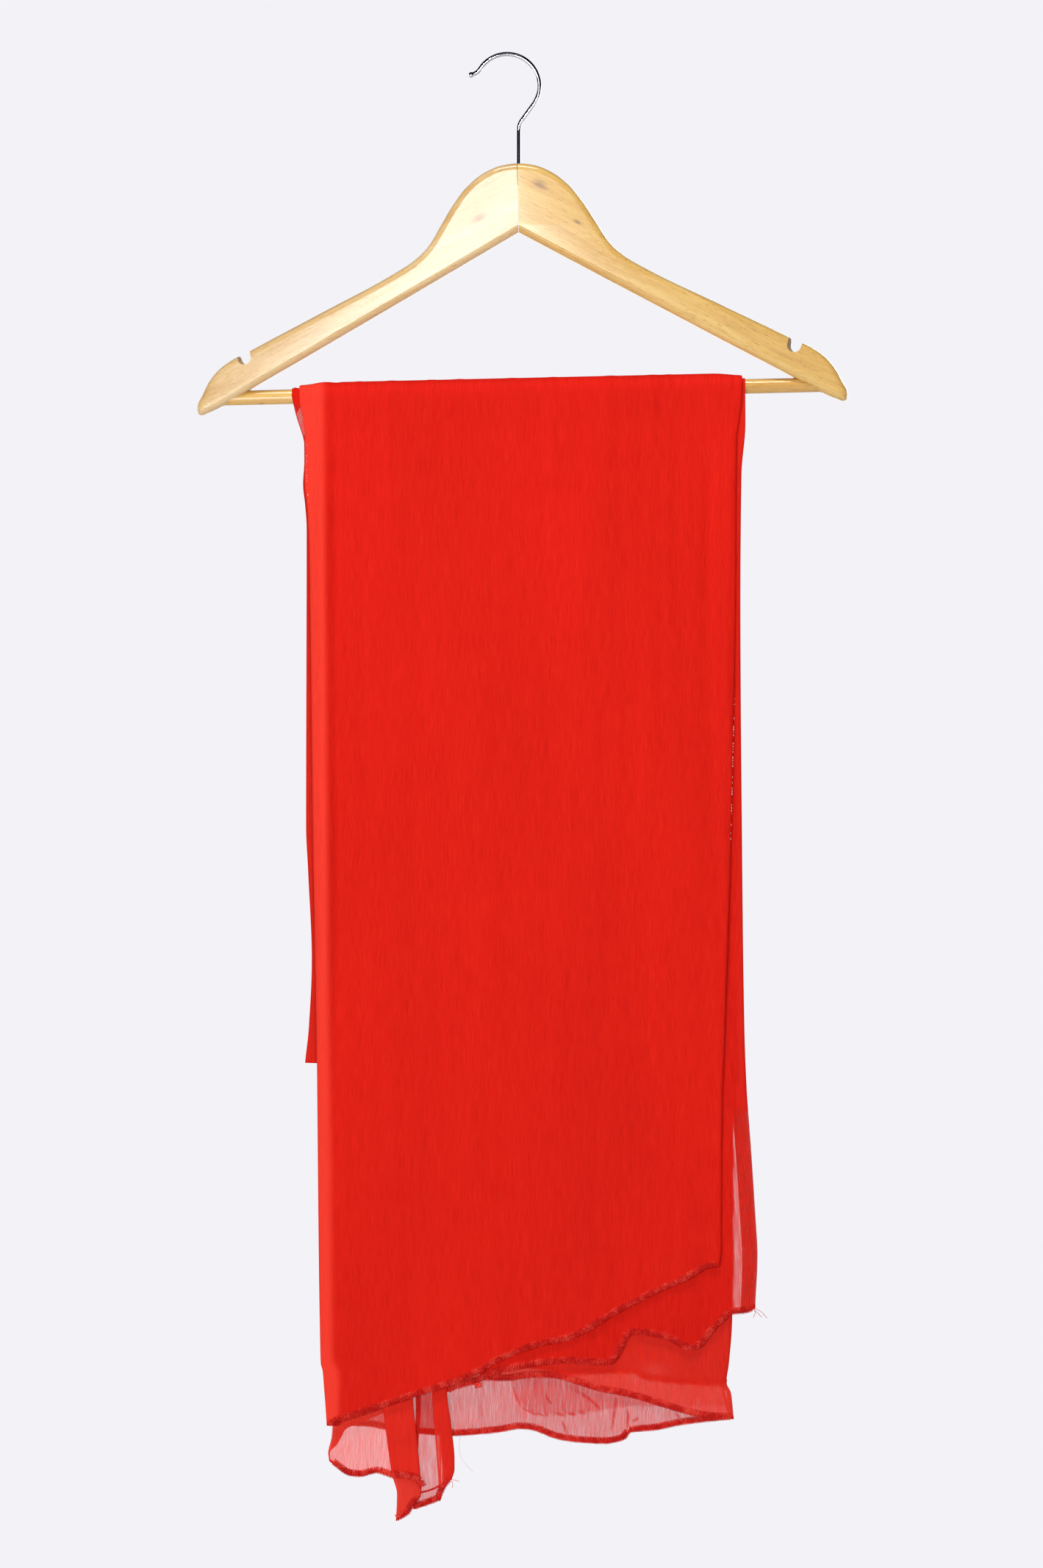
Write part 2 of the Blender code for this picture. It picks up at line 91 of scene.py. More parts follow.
class Nodes:
    """Short calls to add nodes to a tree. A kind without Node in its name gets the usual prefix."""

    prefix = "ShaderNode"

    def __init__(self, tree):
        self.tree = tree

    def node(self, kind, settings=None, **sockets):
        made = self.tree.nodes.new(kind if "Node" in kind else self.prefix + kind)
        for key, value in (settings or {}).items():
            setattr(made, key, value)
        for socket, value in sockets.items():
            self.feed(made.inputs[socket.replace("_", " ")], value)
        return made

    def feed(self, socket, value):
        if isinstance(value, bpy.types.NodeSocket):
            self.tree.links.new(value, socket)
        else:
            socket.default_value = value

    def worked(self, kind, operation, values):
        made = self.node(kind, {"operation": operation})
        for socket, value in zip(made.inputs, values):
            self.feed(socket, value)
        return [s for s in made.outputs if s.enabled][0]

    def maths(self, operation, *values):
        return self.worked("ShaderNodeMath", operation, values)

    def vector(self, operation, *values):
        return self.worked("ShaderNodeVectorMath", operation, values)

    def mixed(self, factor, a, b, blend="MIX"):
        made = self.node("Mix", {"data_type": "RGBA", "blend_type": blend})
        for title, value in (("Factor", factor), ("A", a), ("B", b)):
            self.feed([s for s in made.inputs if s.name == title and s.enabled][0], value)
        return [s for s in made.outputs if s.enabled][0]


class Paint(Nodes):
    """A material with one Principled shader, and short calls to add nodes in front of it."""

    def __init__(self, name, **values):
        self.material = bpy.data.materials.new(name)
        self.material.use_nodes = True
        super().__init__(self.material.node_tree)
        self.shader = self.tree.nodes["Principled BSDF"]
        for socket, value in values.items():
            self.give(socket.replace("_", " "), value)

    def give(self, socket, value):
        """Feeds a number, a colour or another node's output to the shader."""
        self.feed(self.shader.inputs[socket], value)

    def noise(self, vector, scale, detail=3.0, roughness=0.55):
        made = self.node("TexNoise", Vector=vector, Scale=scale, Detail=detail, Roughness=roughness)
        return made.outputs["Fac"]

    def stretched(self, vector, x, y, z, turn=(0.0, 0.0, 0.0)):
        """The coordinates squeezed or stretched along each axis, after a turn."""
        turned = self.node("Mapping", Vector=vector, Rotation=turn).outputs["Vector"]
        return self.node("Mapping", Vector=turned, Scale=(x, y, z)).outputs["Vector"]

    def weighed(self, a, share, b, rest):
        """The sum of two values, each with its weight."""
        return self.maths("ADD", self.maths("MULTIPLY", a, share), self.maths("MULTIPLY", b, rest))

    def ramp(self, factor, stops):
        """A colour for each share, given as (share, colour) pairs."""
        made = self.node("ValToRGB", Fac=factor)
        elements = made.color_ramp.elements
        while len(elements) < len(stops):
            elements.new(0.5)
        for element, (share, colour) in zip(elements, stops):
            element.position = share
            element.color = (*colour, 1.0)
        return made.outputs["Color"]

    def ranged(self, value, low, high, from_low=0.0, from_high=1.0):
        return self.node(
            "MapRange", Value=value, From_Min=from_low, From_Max=from_high, To_Min=low, To_Max=high
        ).outputs["Result"]

    def bump(self, height, strength, distance):
        made = self.node("Bump", Height=height, Strength=strength, Distance=distance)
        self.give("Normal", made.outputs["Normal"])


print("node helpers ready")

# %% [markdown]
# ## Light
#
# Red cloth shows its folds only if the light comes from one side, and lacquer shows its gloss only if it can
# mirror a bright surface. A large softbox at the left does the lighting, a long one above the camera lights
# the cloth where it turns over the bar. Two small panels are placed by what mirrors them: one by the left
# half of the hanger's middle, one by the right end of the bar. The ceiling is dark while the floor and the
# wall behind are bright. The camera itself sees plain pale paper all round.

# %% Hang the lights
Softbox = namedtuple("Softbox", "name width height power place target")
SOFTBOXES = [
    Softbox("key_softbox", 1.7, 1.5, 37.0, (-1.25, -2.75, -1.00), (0.0, 0.0, -0.5)),
    Softbox("top_softbox", 2.0, 0.40, 46.0, (-0.10, -1.00, 2.05), (0.0, 0.0, -0.2)),
    Softbox("hub_panel", 0.36, 0.55, 6.2, (-0.56, -3.20, 0.08), (0.0, 0.0, -0.2)),
    Softbox("rod_panel", 0.30, 0.22, 18.0, (0.28, -3.20, 0.06), (0.0, 0.0, -0.2)),
    Softbox("back_softbox", 1.4, 1.4, 30.0, (1.3, 2.6, 0.2), (0.0, 0.0, -0.5)),
]
BACKGROUND = (0.896, 0.890, 0.930, 1.0)
ROOM_IN_FRONT = (0.06, 0.06, 0.07, 1.0)
WALL_BEHIND = (1.30, 1.30, 1.32, 1.0)
FLOOR_GLOW = (0.80, 0.80, 0.80, 1.0)
CEILING = (0.04, 0.04, 0.05, 1.0)


def studio_sky():
    """Pale paper for the camera. For light and gloss: dark above and in front, bright behind and below."""
    world = bpy.data.worlds.new("studio")
    world.use_nodes = True
    world.node_tree.nodes.clear()
    sky = Nodes(world.node_tree)
    split = sky.node("SeparateXYZ", Vector=sky.node("TexCoord").outputs["Generated"])

    def blend(axis, low, high, a, b):
        share = sky.node(
            "MapRange", {"interpolation_type": "SMOOTHSTEP"}, Value=split.outputs[axis],
            From_Min=low, From_Max=high,
        )
        return sky.mixed(share.outputs["Result"], a, b)

    room = blend("Y", -0.05, 0.45, ROOM_IN_FRONT, WALL_BEHIND)
    room = blend("Z", 0.15, 0.40, room, CEILING)
    room = blend("Z", -0.40, -0.10, FLOOR_GLOW, room)
    seen = sky.node("LightPath").outputs["Is Camera Ray"]
    shine = sky.node("Background", Color=sky.mixed(seen, room, BACKGROUND))
    sky.node("OutputWorld", Surface=shine.outputs["Background"])
    bpy.context.scene.world = world


for box in SOFTBOXES:
    lamp = bpy.data.lights.new(box.name, "AREA")
    lamp.shape = "RECTANGLE"
    lamp.size = box.width
    lamp.size_y = box.height
    lamp.energy = box.power
    hung = into_scene(box.name, lamp)
    hung.location = box.place
    hung.rotation_euler = (Vector(box.target) - Vector(box.place)).to_track_quat("-Z", "Y").to_euler()
studio_sky()
bpy.context.scene.view_settings.view_transform = "Standard"

# %% [markdown]
# ## The floor
#
# The hook hangs on a rail at about head height, so the floor is far below the picture. It is here for the
# other views, and it sends a little light up under the hems. A disc needs no corners, so it has none to show.

# %% Lay the floor
FLOOR_DOWN = 1.75
FLOOR_RADIUS = 3.0


def object_from(bm, name, material=None):
    """Turns a bmesh into an object in the scene, with smooth faces."""
    for face in bm.faces:
        face.smooth = True
    mesh = bpy.data.meshes.new(name)
    bm.to_mesh(mesh)
    bm.free()
    if material:
        mesh.materials.append(material)
    return into_scene(name, mesh)


PALE_FLOOR = Paint("pale_floor", Base_Color=(0.82, 0.82, 0.84, 1.0), Roughness=0.8)
floor_mesh = bmesh.new()
bmesh.ops.create_circle(floor_mesh, cap_ends=True, segments=96, radius=FLOOR_RADIUS)
bmesh.ops.translate(floor_mesh, verts=floor_mesh.verts, vec=(0, 0, -FLOOR_DOWN))
floor = object_from(floor_mesh, "floor", PALE_FLOOR.material)
print(f"the floor lies {FLOOR_DOWN} m under the rail")

# %% [markdown]
# ## Chiffon
#
# Chiffon is woven so openly from hard-twisted yarn that one layer is mostly see-through, two are a strong
# pink, and four look solid. We don't paint those colours: one layer lets about a quarter of the light pass,
# and the stack of layers does the rest. Where several folds lie so close that one shell stands for them, the
# shell carries their number as an attribute called `plies`, and the openness is worked out from it. A second
# one, `glow`, is painted light: it tells how much light from behind would scatter through, and the colour
# of thin places is painted a lighter red by that share. The yarn's twist pulls the cloth into fine upright
# streaks, so the noise that drives colour, openness and relief is stretched along the cloth. It reads the
# cloth's own flat coordinates, in metres, so the streaks turn with every strip and run over the bar.

# %% Weave the chiffon
YARN_PITCH = 0.00042
FACE_COVER = 0.50         # share of light that one face of a single layer stops; each layer has two faces
COVER_SWING = 0.13        # how far that swings between a streak of yarn and the gap beside it
# painted backlight: the lighter red painted into thin places for light from behind
PAINTED_BACKLIGHT_RED = (1.0, 0.052, 0.030, 1.0)


def chiffon_finish():
    paint = Paint(
        "red_chiffon",
        Roughness=0.70,
        Specular_IOR_Level=0.06,
        Sheen_Weight=0.015,
        Sheen_Roughness=0.35,
        Sheen_Tint=(1.0, 0.40, 0.30, 1.0),
    )
    flat = paint.node("UVMap", {"uv_map": "cloth"}).outputs["UV"]
    plies = paint.node("Attribute", {"attribute_name": "plies"}).outputs["Fac"]
    glow = paint.node("Attribute", {"attribute_name": "glow"}).outputs["Fac"]
    drift = paint.noise(paint.stretched(flat, 0.4, 1.0, 1.0), 130.0, 2.0, 0.5)
    aside = paint.node("CombineXYZ", X=paint.maths("MULTIPLY", drift, 0.0035)).outputs[0]
    swaying = paint.vector("ADD", flat, aside)
    streaks = paint.noise(paint.stretched(swaying, 1.0, 0.045, 1.0), 1250.0, 2.0, 0.6)
    bands = paint.noise(paint.stretched(flat, 1.0, 0.05, 1.0), 170.0, 3.0, 0.5)
    clouds = paint.noise(paint.stretched(flat, 1.0, 0.3, 1.0), 16.0, 2.0, 0.5)
    warp, weft = (
        paint.node(
            "TexWave", {"bands_direction": axis}, Vector=flat, Scale=1 / YARN_PITCH / 20, Distortion=1.2
        ).outputs["Fac"]
        for axis in "XY"
    )
    weave = paint.maths("MULTIPLY", warp, weft)
    pattern = paint.weighed(streaks, 0.78, bands, 0.22)
    colour = paint.ramp(
        pattern,
        [(0.32, (0.715, 0.0080, 0.0032)), (0.50, (0.770, 0.0100, 0.0040)), (0.70, (0.815, 0.0150, 0.0065))],
    )
    shade = paint.ramp(clouds, [(0.30, (0.92, 0.88, 0.88)), (0.70, (1.0, 1.0, 1.0))])
    colour = paint.mixed(1.0, colour, shade, "MULTIPLY")
    # painted backlight: where glow is high, the base colour is painted towards a lighter red
    paint.give("Base Color", paint.mixed(glow, colour, PAINTED_BACKLIGHT_RED))
    face = paint.ranged(pattern, FACE_COVER - COVER_SWING, FACE_COVER + COVER_SWING, 0.33, 0.67)
    open_share = paint.maths("POWER", paint.maths("SUBTRACT", 1.0, face), plies)
    paint.give("Alpha", paint.maths("SUBTRACT", 1.0, open_share))
    paint.bump(paint.weighed(pattern, 0.8, weave, 0.2), 0.15, 0.0005)
    return paint.material


def thread_finish():
    """The thread of the overlocked hems: the same red, solid, with the shine of twisted polyester. Its
    lightest flecks are painted sheen.
    """
    paint = Paint("red_thread", Roughness=0.45, Specular_IOR_Level=0.25)
    place = paint.node("TexCoord").outputs["Object"]
    twist = paint.noise(place, 1100.0, 2.0, 0.6)
    spread = paint.noise(place, 160.0, 2.0, 0.5)
    # painted sheen: the lightest stop stands for flecks where the twisted thread catches the light
    colour = paint.ramp(
        paint.weighed(twist, 0.5, spread, 0.5),
        [(0.36, (0.46, 0.003, 0.002)), (0.50, (0.76, 0.008, 0.004)), (0.64, (1.0, 0.11, 0.07))],
    )
    paint.give("Base Color", colour)
    paint.bump(twist, 0.5, 0.0002)
    return paint.material


CHIFFON = chiffon_finish()
THREAD = thread_finish()
print("cloth finishes:", CHIFFON.name, THREAD.name)

# %% [markdown]
# ## The shape of the cloth, in tables
#
# The stole is one cloth, but folded it shows as a stack of layers with different edges. Each layer is
# described by where its left and right edges run and where its hem ends, measured on the real object in
# metres. The pairs of an edge are the distance below the top of the hook and x, those of a hem are x and
# that distance. These are the frame's own sizes, so every shell lies on its solid.

# %% Sizes of the hanger and the stack
CLOTH_GAP = 0.0003
CLOTH_WALL = 0.0014
PITCH = CLOTH_WALL + CLOTH_GAP
SHELL = 0.0003            # thickness of the fine shell that stands for the chiffon
APEX = Vector((0.00675, 0.0, -0.07325))
TILT = math.radians(1.3)
SWEEP = math.radians(4.5)
SOCKET_AT = 0.197
BAR_RADIUS = 0.005
BAR_HALF = 0.2060
BAR_BELOW_APEX = 0.1541
BAR_Y = SOCKET_AT * math.sin(SWEEP)
BAR_DOWN = -(APEX.z - BAR_BELOW_APEX - APEX.x * math.tan(TILT))
INNER_RADIUS = BAR_RADIUS + CLOTH_GAP + CLOTH_WALL / 2
OUTER_RADIUS = INNER_RADIUS + PITCH
BACK_SEAM = 0.004
UNDER_BAR = 0.006
INNER_START = BAR_DOWN + UNDER_BAR + 0.004
FLAP_START = 0.8846
STRIP_START = 0.8606
RIDGE_RISE = 0.08
RIDGE_FADE = 0.45

Layer = namedtuple("Layer", "left right hem left_fold right_fold", defaults=(None, None))
print(f"the bar's middle is {BAR_DOWN:.4f} m down, {BAR_Y:.4f} m behind the hook")

# %% [markdown]
# The pairs of a fold are the distance down and how wide the cloth is turned under there. On a folded edge the
# turned part shows through the sheer cloth as a denser band, so its width matters even though it lies behind.

# %% The layers that hang in front
FRONT_PANEL = Layer(
    left=[
        (0.222, -0.1418), (0.234, -0.1412), (0.242, -0.1390), (0.258, -0.1376), (0.287, -0.1377),
        (0.302, -0.1360), (0.330, -0.1347), (0.562, -0.1315), (0.640, -0.1300), (0.8890, -0.1270),
        (0.8945, -0.1256), (0.907, -0.1246), (0.917, -0.1238), (0.932, -0.1228),
    ],
    right=[
        (0.222, 0.1603), (0.236, 0.1598), (0.250, 0.1580), (0.264, 0.1561), (0.375, 0.1553),
        (0.549, 0.1520), (0.655, 0.1483), (0.735, 0.1460), (0.812, 0.1457), (0.823, 0.1445),
    ],
    hem=[
        (-0.1228, 0.9322), (-0.1180, 0.9312), (-0.1150, 0.9292), (-0.1051, 0.9261), (-0.0851, 0.9197),
        (-0.0651, 0.9132), (-0.0401, 0.9052), (-0.0170, 0.8958), (-0.0021, 0.8876), (0.0102, 0.8824),
        (0.0267, 0.8770), (0.0418, 0.8739), (0.0527, 0.8694), (0.0665, 0.8612), (0.0774, 0.8547),
        (0.0994, 0.8431), (0.1213, 0.8332), (0.1323, 0.8270), (0.1370, 0.8245), (0.1445, 0.8235),
    ],
    left_fold=[(0.22, 0.010), (0.94, 0.008)],
    right_fold=[(0.22, 0.010), (0.83, 0.006)],
)
SECOND_LAYER = Layer(
    left=[(0.226, -0.1470), (0.240, -0.1440), (0.258, -0.1385), (0.330, -0.1280), (0.860, -0.1240)],
    right=[
        (0.220, 0.1620), (0.253, 0.1622), (0.288, 0.1595), (0.372, 0.1588), (0.549, 0.1600),
        (0.662, 0.1615), (0.702, 0.1630), (0.743, 0.1660), (0.789, 0.1690), (0.816, 0.1705),
        (0.850, 0.1690),
    ],
    hem=[
        (-0.1240, 0.8600), (-0.0235, 0.8600), (-0.0195, 0.9002), (-0.0070, 0.8966), (0.0060, 0.8937),
        (0.0199, 0.8911), (0.0308, 0.8896), (0.0418, 0.8888), (0.0528, 0.8898), (0.0620, 0.8903),
        (0.0700, 0.8902), (0.0747, 0.8864), (0.0802, 0.8762), (0.0829, 0.8704), (0.0884, 0.8695),
        (0.0994, 0.8708), (0.1090, 0.8730), (0.1185, 0.8782), (0.1254, 0.8803), (0.1309, 0.8790),
        (0.1364, 0.8727), (0.1419, 0.8657), (0.1473, 0.8609), (0.1528, 0.8559), (0.1600, 0.8552),
        (0.1645, 0.8545), (0.1690, 0.8522),
    ],
    left_fold=[(0.22, 0.006), (0.234, 0.006), (0.237, 0.0007), (0.86, 0.0007)],
    right_fold=[(0.22, 0.010), (0.80, 0.0105), (0.86, 0.0095)],
)
THIRD_LAYER = Layer(
    left=[(0.240, -0.1270), (0.885, -0.1230)],
    right=[
        (0.240, 0.1560), (0.600, 0.1540), (0.858, 0.1533), (0.890, 0.1510), (0.903, 0.1493),
        (0.910, 0.1525), (0.927, 0.1543),
    ],
    hem=[
        (-0.1230, 0.8840), (-0.0430, 0.8840), (-0.0405, 0.9098), (-0.0350, 0.9073), (-0.0268, 0.9052),
        (-0.0186, 0.9030), (-0.0144, 0.9010), (0.0020, 0.9013), (0.0102, 0.9003), (0.0199, 0.8991),
        (0.0335, 0.8993), (0.0418, 0.9011), (0.0528, 0.9045), (0.0637, 0.9083), (0.0815, 0.9118),
        (0.1021, 0.9178), (0.1186, 0.9230), (0.1350, 0.9268), (0.1540, 0.9280),
    ],
    left_fold=[(0.24, 0.006), (0.89, 0.006)],
    right_fold=[(0.24, 0.008), (0.93, 0.003)],
)
FOURTH_LAYER = Layer(
    left=[(0.240, -0.1260), (0.932, -0.1190)],
    right=[(0.240, 0.1500), (0.858, 0.1490), (0.903, 0.1478), (0.915, 0.1500), (0.928, 0.1536)],
    hem=[
        (-0.1190, 0.9318), (-0.1045, 0.9322), (-0.0945, 0.9325), (-0.0830, 0.9347), (-0.0615, 0.9374),
        (-0.0385, 0.9390), (-0.0144, 0.9375), (-0.0021, 0.9360), (0.0089, 0.9342), (0.0157, 0.9347),
        (0.0226, 0.9368), (0.0308, 0.9402), (0.0391, 0.9422), (0.0528, 0.9438), (0.0678, 0.9443),
        (0.0774, 0.9424), (0.0816, 0.9402), (0.0829, 0.9370), (0.1021, 0.9350), (0.1158, 0.9320),
        (0.1295, 0.9300), (0.1432, 0.9286), (0.1536, 0.9272),
    ],
    left_fold=[(0.24, 0.004), (0.93, 0.002)],
    right_fold=[(0.24, 0.004), (0.93, 0.002)],
)
print("wide layers in front: 4")

# %% [markdown]
# Under the sloping hem hang the ends of the inner folds: a corner, a single gore and two narrow strips that
# are folded several times and so look solid.

# %% The corner, gore and strips below the hem
CORNER_FLAP = Layer(
    left=[(0.8843, -0.1180), (0.939, -0.1195), (0.951, -0.1220), (0.957, -0.1210)],
    right=[(0.8843, -0.0643), (0.970, -0.0643)],
    hem=[
        (-0.1210, 0.9568), (-0.1172, 0.9597), (-0.1080, 0.9658), (-0.1000, 0.9667), (-0.0890, 0.9642),
        (-0.0780, 0.9675), (-0.0643, 0.9690),
    ],
    left_fold=[
        (0.884, 0.0520), (0.914, 0.0500), (0.924, 0.0340), (0.930, 0.0195), (0.932, 0.0145),
        (0.935, 0.0090), (0.939, 0.0070), (0.946, 0.0045), (0.950, 0.0013), (0.956, 0.0008),
    ],
    right_fold=[(0.884, 0.002), (0.97, 0.002)],
)
TAIL_GORE = Layer(
    left=[(0.8843, -0.0622), (0.925, -0.0624), (0.940, -0.0632), (0.990, -0.0640)],
    right=[(0.8843, -0.0455), (0.990, -0.0450)],
    hem=[(-0.0640, 0.9893), (-0.0530, 0.9855), (-0.0450, 0.9825)],
    left_fold=[(0.884, 0.0035), (0.925, 0.0033), (0.945, 0.0028), (0.990, 0.0022)],
    right_fold=[(0.884, 0.001), (0.99, 0.001)],
)
LEFT_STRIP = Layer(
    left=[
        (0.8603, -0.0860), (0.919, -0.0845), (0.940, -0.0820), (0.965, -0.0785), (0.979, -0.0750),
        (0.997, -0.0757),
    ],
    right=[
        (0.8603, -0.0660), (0.915, -0.0642), (0.938, -0.0620), (0.963, -0.0595), (0.976, -0.0585),
        (0.981, -0.0592),
    ],
    hem=[(-0.0757, 0.9972), (-0.0722, 0.9952), (-0.0670, 0.9917), (-0.0635, 0.9857), (-0.0592, 0.9808)],
    left_fold=[(0.86, 0.0185), (0.965, 0.0175), (0.985, 0.012), (0.997, 0.0005)],
    right_fold=[(0.86, 0.0180), (0.955, 0.0170), (0.968, 0.008), (0.98, 0.002)],
)
RIGHT_STRIP = Layer(
    left=[(0.8603, -0.0525), (0.913, -0.0510), (0.940, -0.0490), (0.966, -0.0470), (0.984, -0.0460)],
    right=[
        (0.8603, -0.0425), (0.911, -0.0410), (0.934, -0.0380), (0.956, -0.0360), (0.962, -0.0360),
        (0.969, -0.0380),
    ],
    hem=[(-0.0460, 0.9837), (-0.0440, 0.9782), (-0.0415, 0.9732), (-0.0380, 0.9688)],
    left_fold=[(0.86, 0.0012), (0.96, 0.0010), (0.984, 0.0006)],
    right_fold=[(0.86, 0.0090), (0.95, 0.0090), (0.969, 0.003)],
)
print("narrow pieces in front: 4")

# %% [markdown]
# The back is longer than it looks from the front: the cloth falls to the fold at its middle and comes up
# again inside.

# %% The layer that hangs behind
BACK_FALL = Layer(
    left=[
        (0.226, -0.1470), (0.240, -0.1440), (0.258, -0.1387), (0.272, -0.1386), (0.287, -0.1395),
        (0.302, -0.1380), (0.318, -0.1370), (0.523, -0.1374), (0.554, -0.1360), (0.615, -0.1335),
        (0.661, -0.1355), (0.684, -0.1380),
    ],
    right=[(0.222, 0.1560), (0.400, 0.1570), (0.680, 0.1545)],
    hem=[(-0.1380, 0.6845), (-0.0900, 0.6858), (0.0000, 0.6880), (0.0900, 0.6895), (0.1545, 0.6870)],
)
print("layers behind: 1, doubled")

# %% [markdown]
# ## Folds and creases
#
# A `Ridge` is a soft upright fold that starts at the bar and dies away down the cloth. A `Crease` is a short
# sharp one between two points. No two are alike in length, width or height, because real ones never are, and
# the back gets folds of its own: nobody irons a stole only where the camera looks.

# %% Folds, measured from the middle of the hanger
Ridge = namedtuple("Ridge", "x half_width height top bottom lean")
FRONT_RIDGES = [
    Ridge(-0.1265, 0.0080, 0.0006, 0.000, 0.200, 0.003),
    Ridge(-0.1260, 0.0090, 0.0024, 0.004, 0.640, 0.003),
    Ridge(-0.1165, 0.0045, -0.0007, 0.000, 0.460, 0.004),
    Ridge(-0.1010, 0.0040, 0.0004, 0.000, 0.060, 0.010),
    Ridge(-0.0790, 0.0055, 0.0005, 0.000, 0.075, -0.020),
    Ridge(-0.0520, 0.0045, 0.0004, 0.000, 0.050, 0.010),
    Ridge(-0.0330, 0.0060, 0.0005, 0.000, 0.085, -0.010),
    Ridge(0.0030, 0.0060, 0.0004, 0.000, 0.060, 0.015),
    Ridge(0.0310, 0.0050, 0.0004, 0.000, 0.070, 0.000),
    Ridge(0.0700, 0.0060, 0.0005, 0.000, 0.055, 0.010),
    Ridge(-0.0850, 0.0280, 0.0010, 0.060, 0.640, 0.012),
    Ridge(-0.0200, 0.0350, 0.0014, 0.150, 0.700, -0.020),
    Ridge(0.0550, 0.0320, 0.0012, 0.040, 0.600, 0.010),
    Ridge(0.0985, 0.0060, 0.0004, 0.000, 0.330, 0.002),
    Ridge(0.1100, 0.0040, 0.0004, 0.000, 0.240, 0.000),
    Ridge(0.1235, 0.0030, 0.0006, 0.006, 0.160, 0.000),
    Ridge(0.1380, 0.0080, -0.0011, 0.006, 0.330, -0.004),
    Ridge(0.1442, 0.0026, 0.0008, 0.006, 0.230, -0.004),
    Ridge(0.1500, 0.0060, 0.0010, 0.006, 0.560, -0.006),
    Ridge(0.1548, 0.0022, 0.0007, 0.004, 0.130, -0.030),
]
SECOND_RIDGES = [
    Ridge(-0.1445, 0.0032, 0.0014, 0.000, 0.045, 0.150),
    Ridge(0.1640, 0.0055, 0.0010, 0.000, 0.600, 0.004),
]
BACK_RIDGES = [
    Ridge(-0.1200, 0.0100, 0.0020, 0.004, 0.440, 0.000),
    Ridge(-0.0960, 0.0050, 0.0006, 0.004, 0.300, 0.006),
    Ridge(-0.0600, 0.0300, 0.0014, 0.080, 0.480, 0.010),
    Ridge(0.0100, 0.0340, 0.0012, 0.020, 0.380, -0.012),
    Ridge(0.0480, 0.0060, 0.0005, 0.010, 0.260, 0.003),
    Ridge(0.0820, 0.0280, 0.0016, 0.120, 0.480, 0.008),
    Ridge(0.1180, 0.0050, 0.0008, 0.004, 0.340, -0.003),
    Ridge(0.1380, 0.0090, 0.0016, 0.004, 0.420, 0.000),
]
Crease = namedtuple("Crease", "x down to_x to_down half_width height bow")
FRONT_CREASES = [
    Crease(-0.1250, 0.6900, -0.1180, 0.9250, 0.0035, -0.0005, 0.002),
    Crease(-0.1050, 0.8300, -0.0700, 0.8480, 0.0040, 0.0005, 0.002),
    Crease(-0.1000, 0.8560, -0.0560, 0.8720, 0.0045, 0.0005, -0.003),
    Crease(0.1475, 0.3850, 0.1540, 0.5400, 0.0030, 0.0007, 0.001),
    Crease(0.1400, 0.5400, 0.1445, 0.7350, 0.0030, 0.0006, 0.000),
    Crease(0.0200, 0.8200, 0.0900, 0.8050, 0.0070, 0.0005, 0.004),
]
FOURTH_CREASES = [
    Crease(0.0048, 0.9050, 0.0098, 0.9196, 0.0010, -0.0008, -0.0012),
    Crease(0.0098, 0.9196, 0.0300, 0.9248, 0.0011, -0.0007, -0.0022),
    Crease(0.0300, 0.9248, 0.0552, 0.9230, 0.0010, -0.0004, -0.0008),
    Crease(0.0264, 0.9098, 0.0312, 0.9182, 0.0010, -0.0006, -0.0012),
    Crease(0.0372, 0.9290, 0.0402, 0.9386, 0.0010, -0.0007, 0.0004),
    Crease(0.0468, 0.9085, 0.0648, 0.9230, 0.0011, -0.0009, 0.0012),
    Crease(0.0740, 0.9115, 0.0706, 0.9373, 0.0010, -0.0014, 0.0008),
    Crease(0.0822, 0.9205, 0.0816, 0.9362, 0.0010, -0.0012, 0.0005),
    Crease(0.0899, 0.9265, 0.0851, 0.9301, 0.0009, -0.0010, 0.0003),
    Crease(0.1150, 0.9240, 0.1180, 0.9280, 0.0009, -0.0006, 0.0003),
]
print("folds in front:", len(FRONT_RIDGES) + len(SECOND_RIDGES), "behind:", len(BACK_RIDGES))

# %% [markdown]
# ## From tables to smooth curves
#
# A line drawn straight from row to row would show as corners on the cloth's edge. A cubic that never
# overshoots keeps the measured places and rounds what lies between.

# %% Read the tables as curves


def through(knots, values, places):
    """A smooth curve through the knots that keeps between their values."""
    knots = np.asarray(knots, float)
    values = np.asarray(values, float)
    steps = np.diff(knots)
    slopes = np.diff(values) / steps
    both = slopes[:-1] * slopes[1:]
    total = slopes[:-1] + slopes[1:]
    inner = np.where(both > 0, 2 * both / np.where(total == 0, 1, total), 0)
    tangents = np.concatenate([slopes[:1], inner, slopes[-1:]])
    places = np.clip(places, knots[0], knots[-1])
    span = np.clip(np.searchsorted(knots, places, side="right") - 1, 0, len(steps) - 1)
    t = (places - knots[span]) / steps[span]
    start, end = values[span], values[span + 1]
    rise, fall = tangents[span] * steps[span], tangents[span + 1] * steps[span]
    return (
        start * (2 * t**3 - 3 * t**2 + 1)
        + rise * (t**3 - 2 * t**2 + t)
        + end * (3 * t**2 - 2 * t**3)
        + fall * (t**3 - t**2)
    )


def column(rows, places):
    """Reads pairs as a curve: the second number at places along the first."""
    return through([row[0] for row in rows], [row[1] for row in rows], places)


def eased(share):
    share = np.clip(share, 0, 1)
    return share * share * (3 - 2 * share)


def bar_height(x):
    return x * math.tan(TILT) - BAR_DOWN


print("edge of the front panel half way down:", round(float(column(FRONT_PANEL.left, 0.55)), 4))

# %% [markdown]
# ## Relief
#
# Everything that lifts the cloth off its flat fall is added up here: the tall folds, the short creases, and
# a faint unevenness that any soft cloth has. The faint part is a handful of long waves with seeded phases, so
# it is the same on each run.

# %% Relief of folds, creases and unevenness


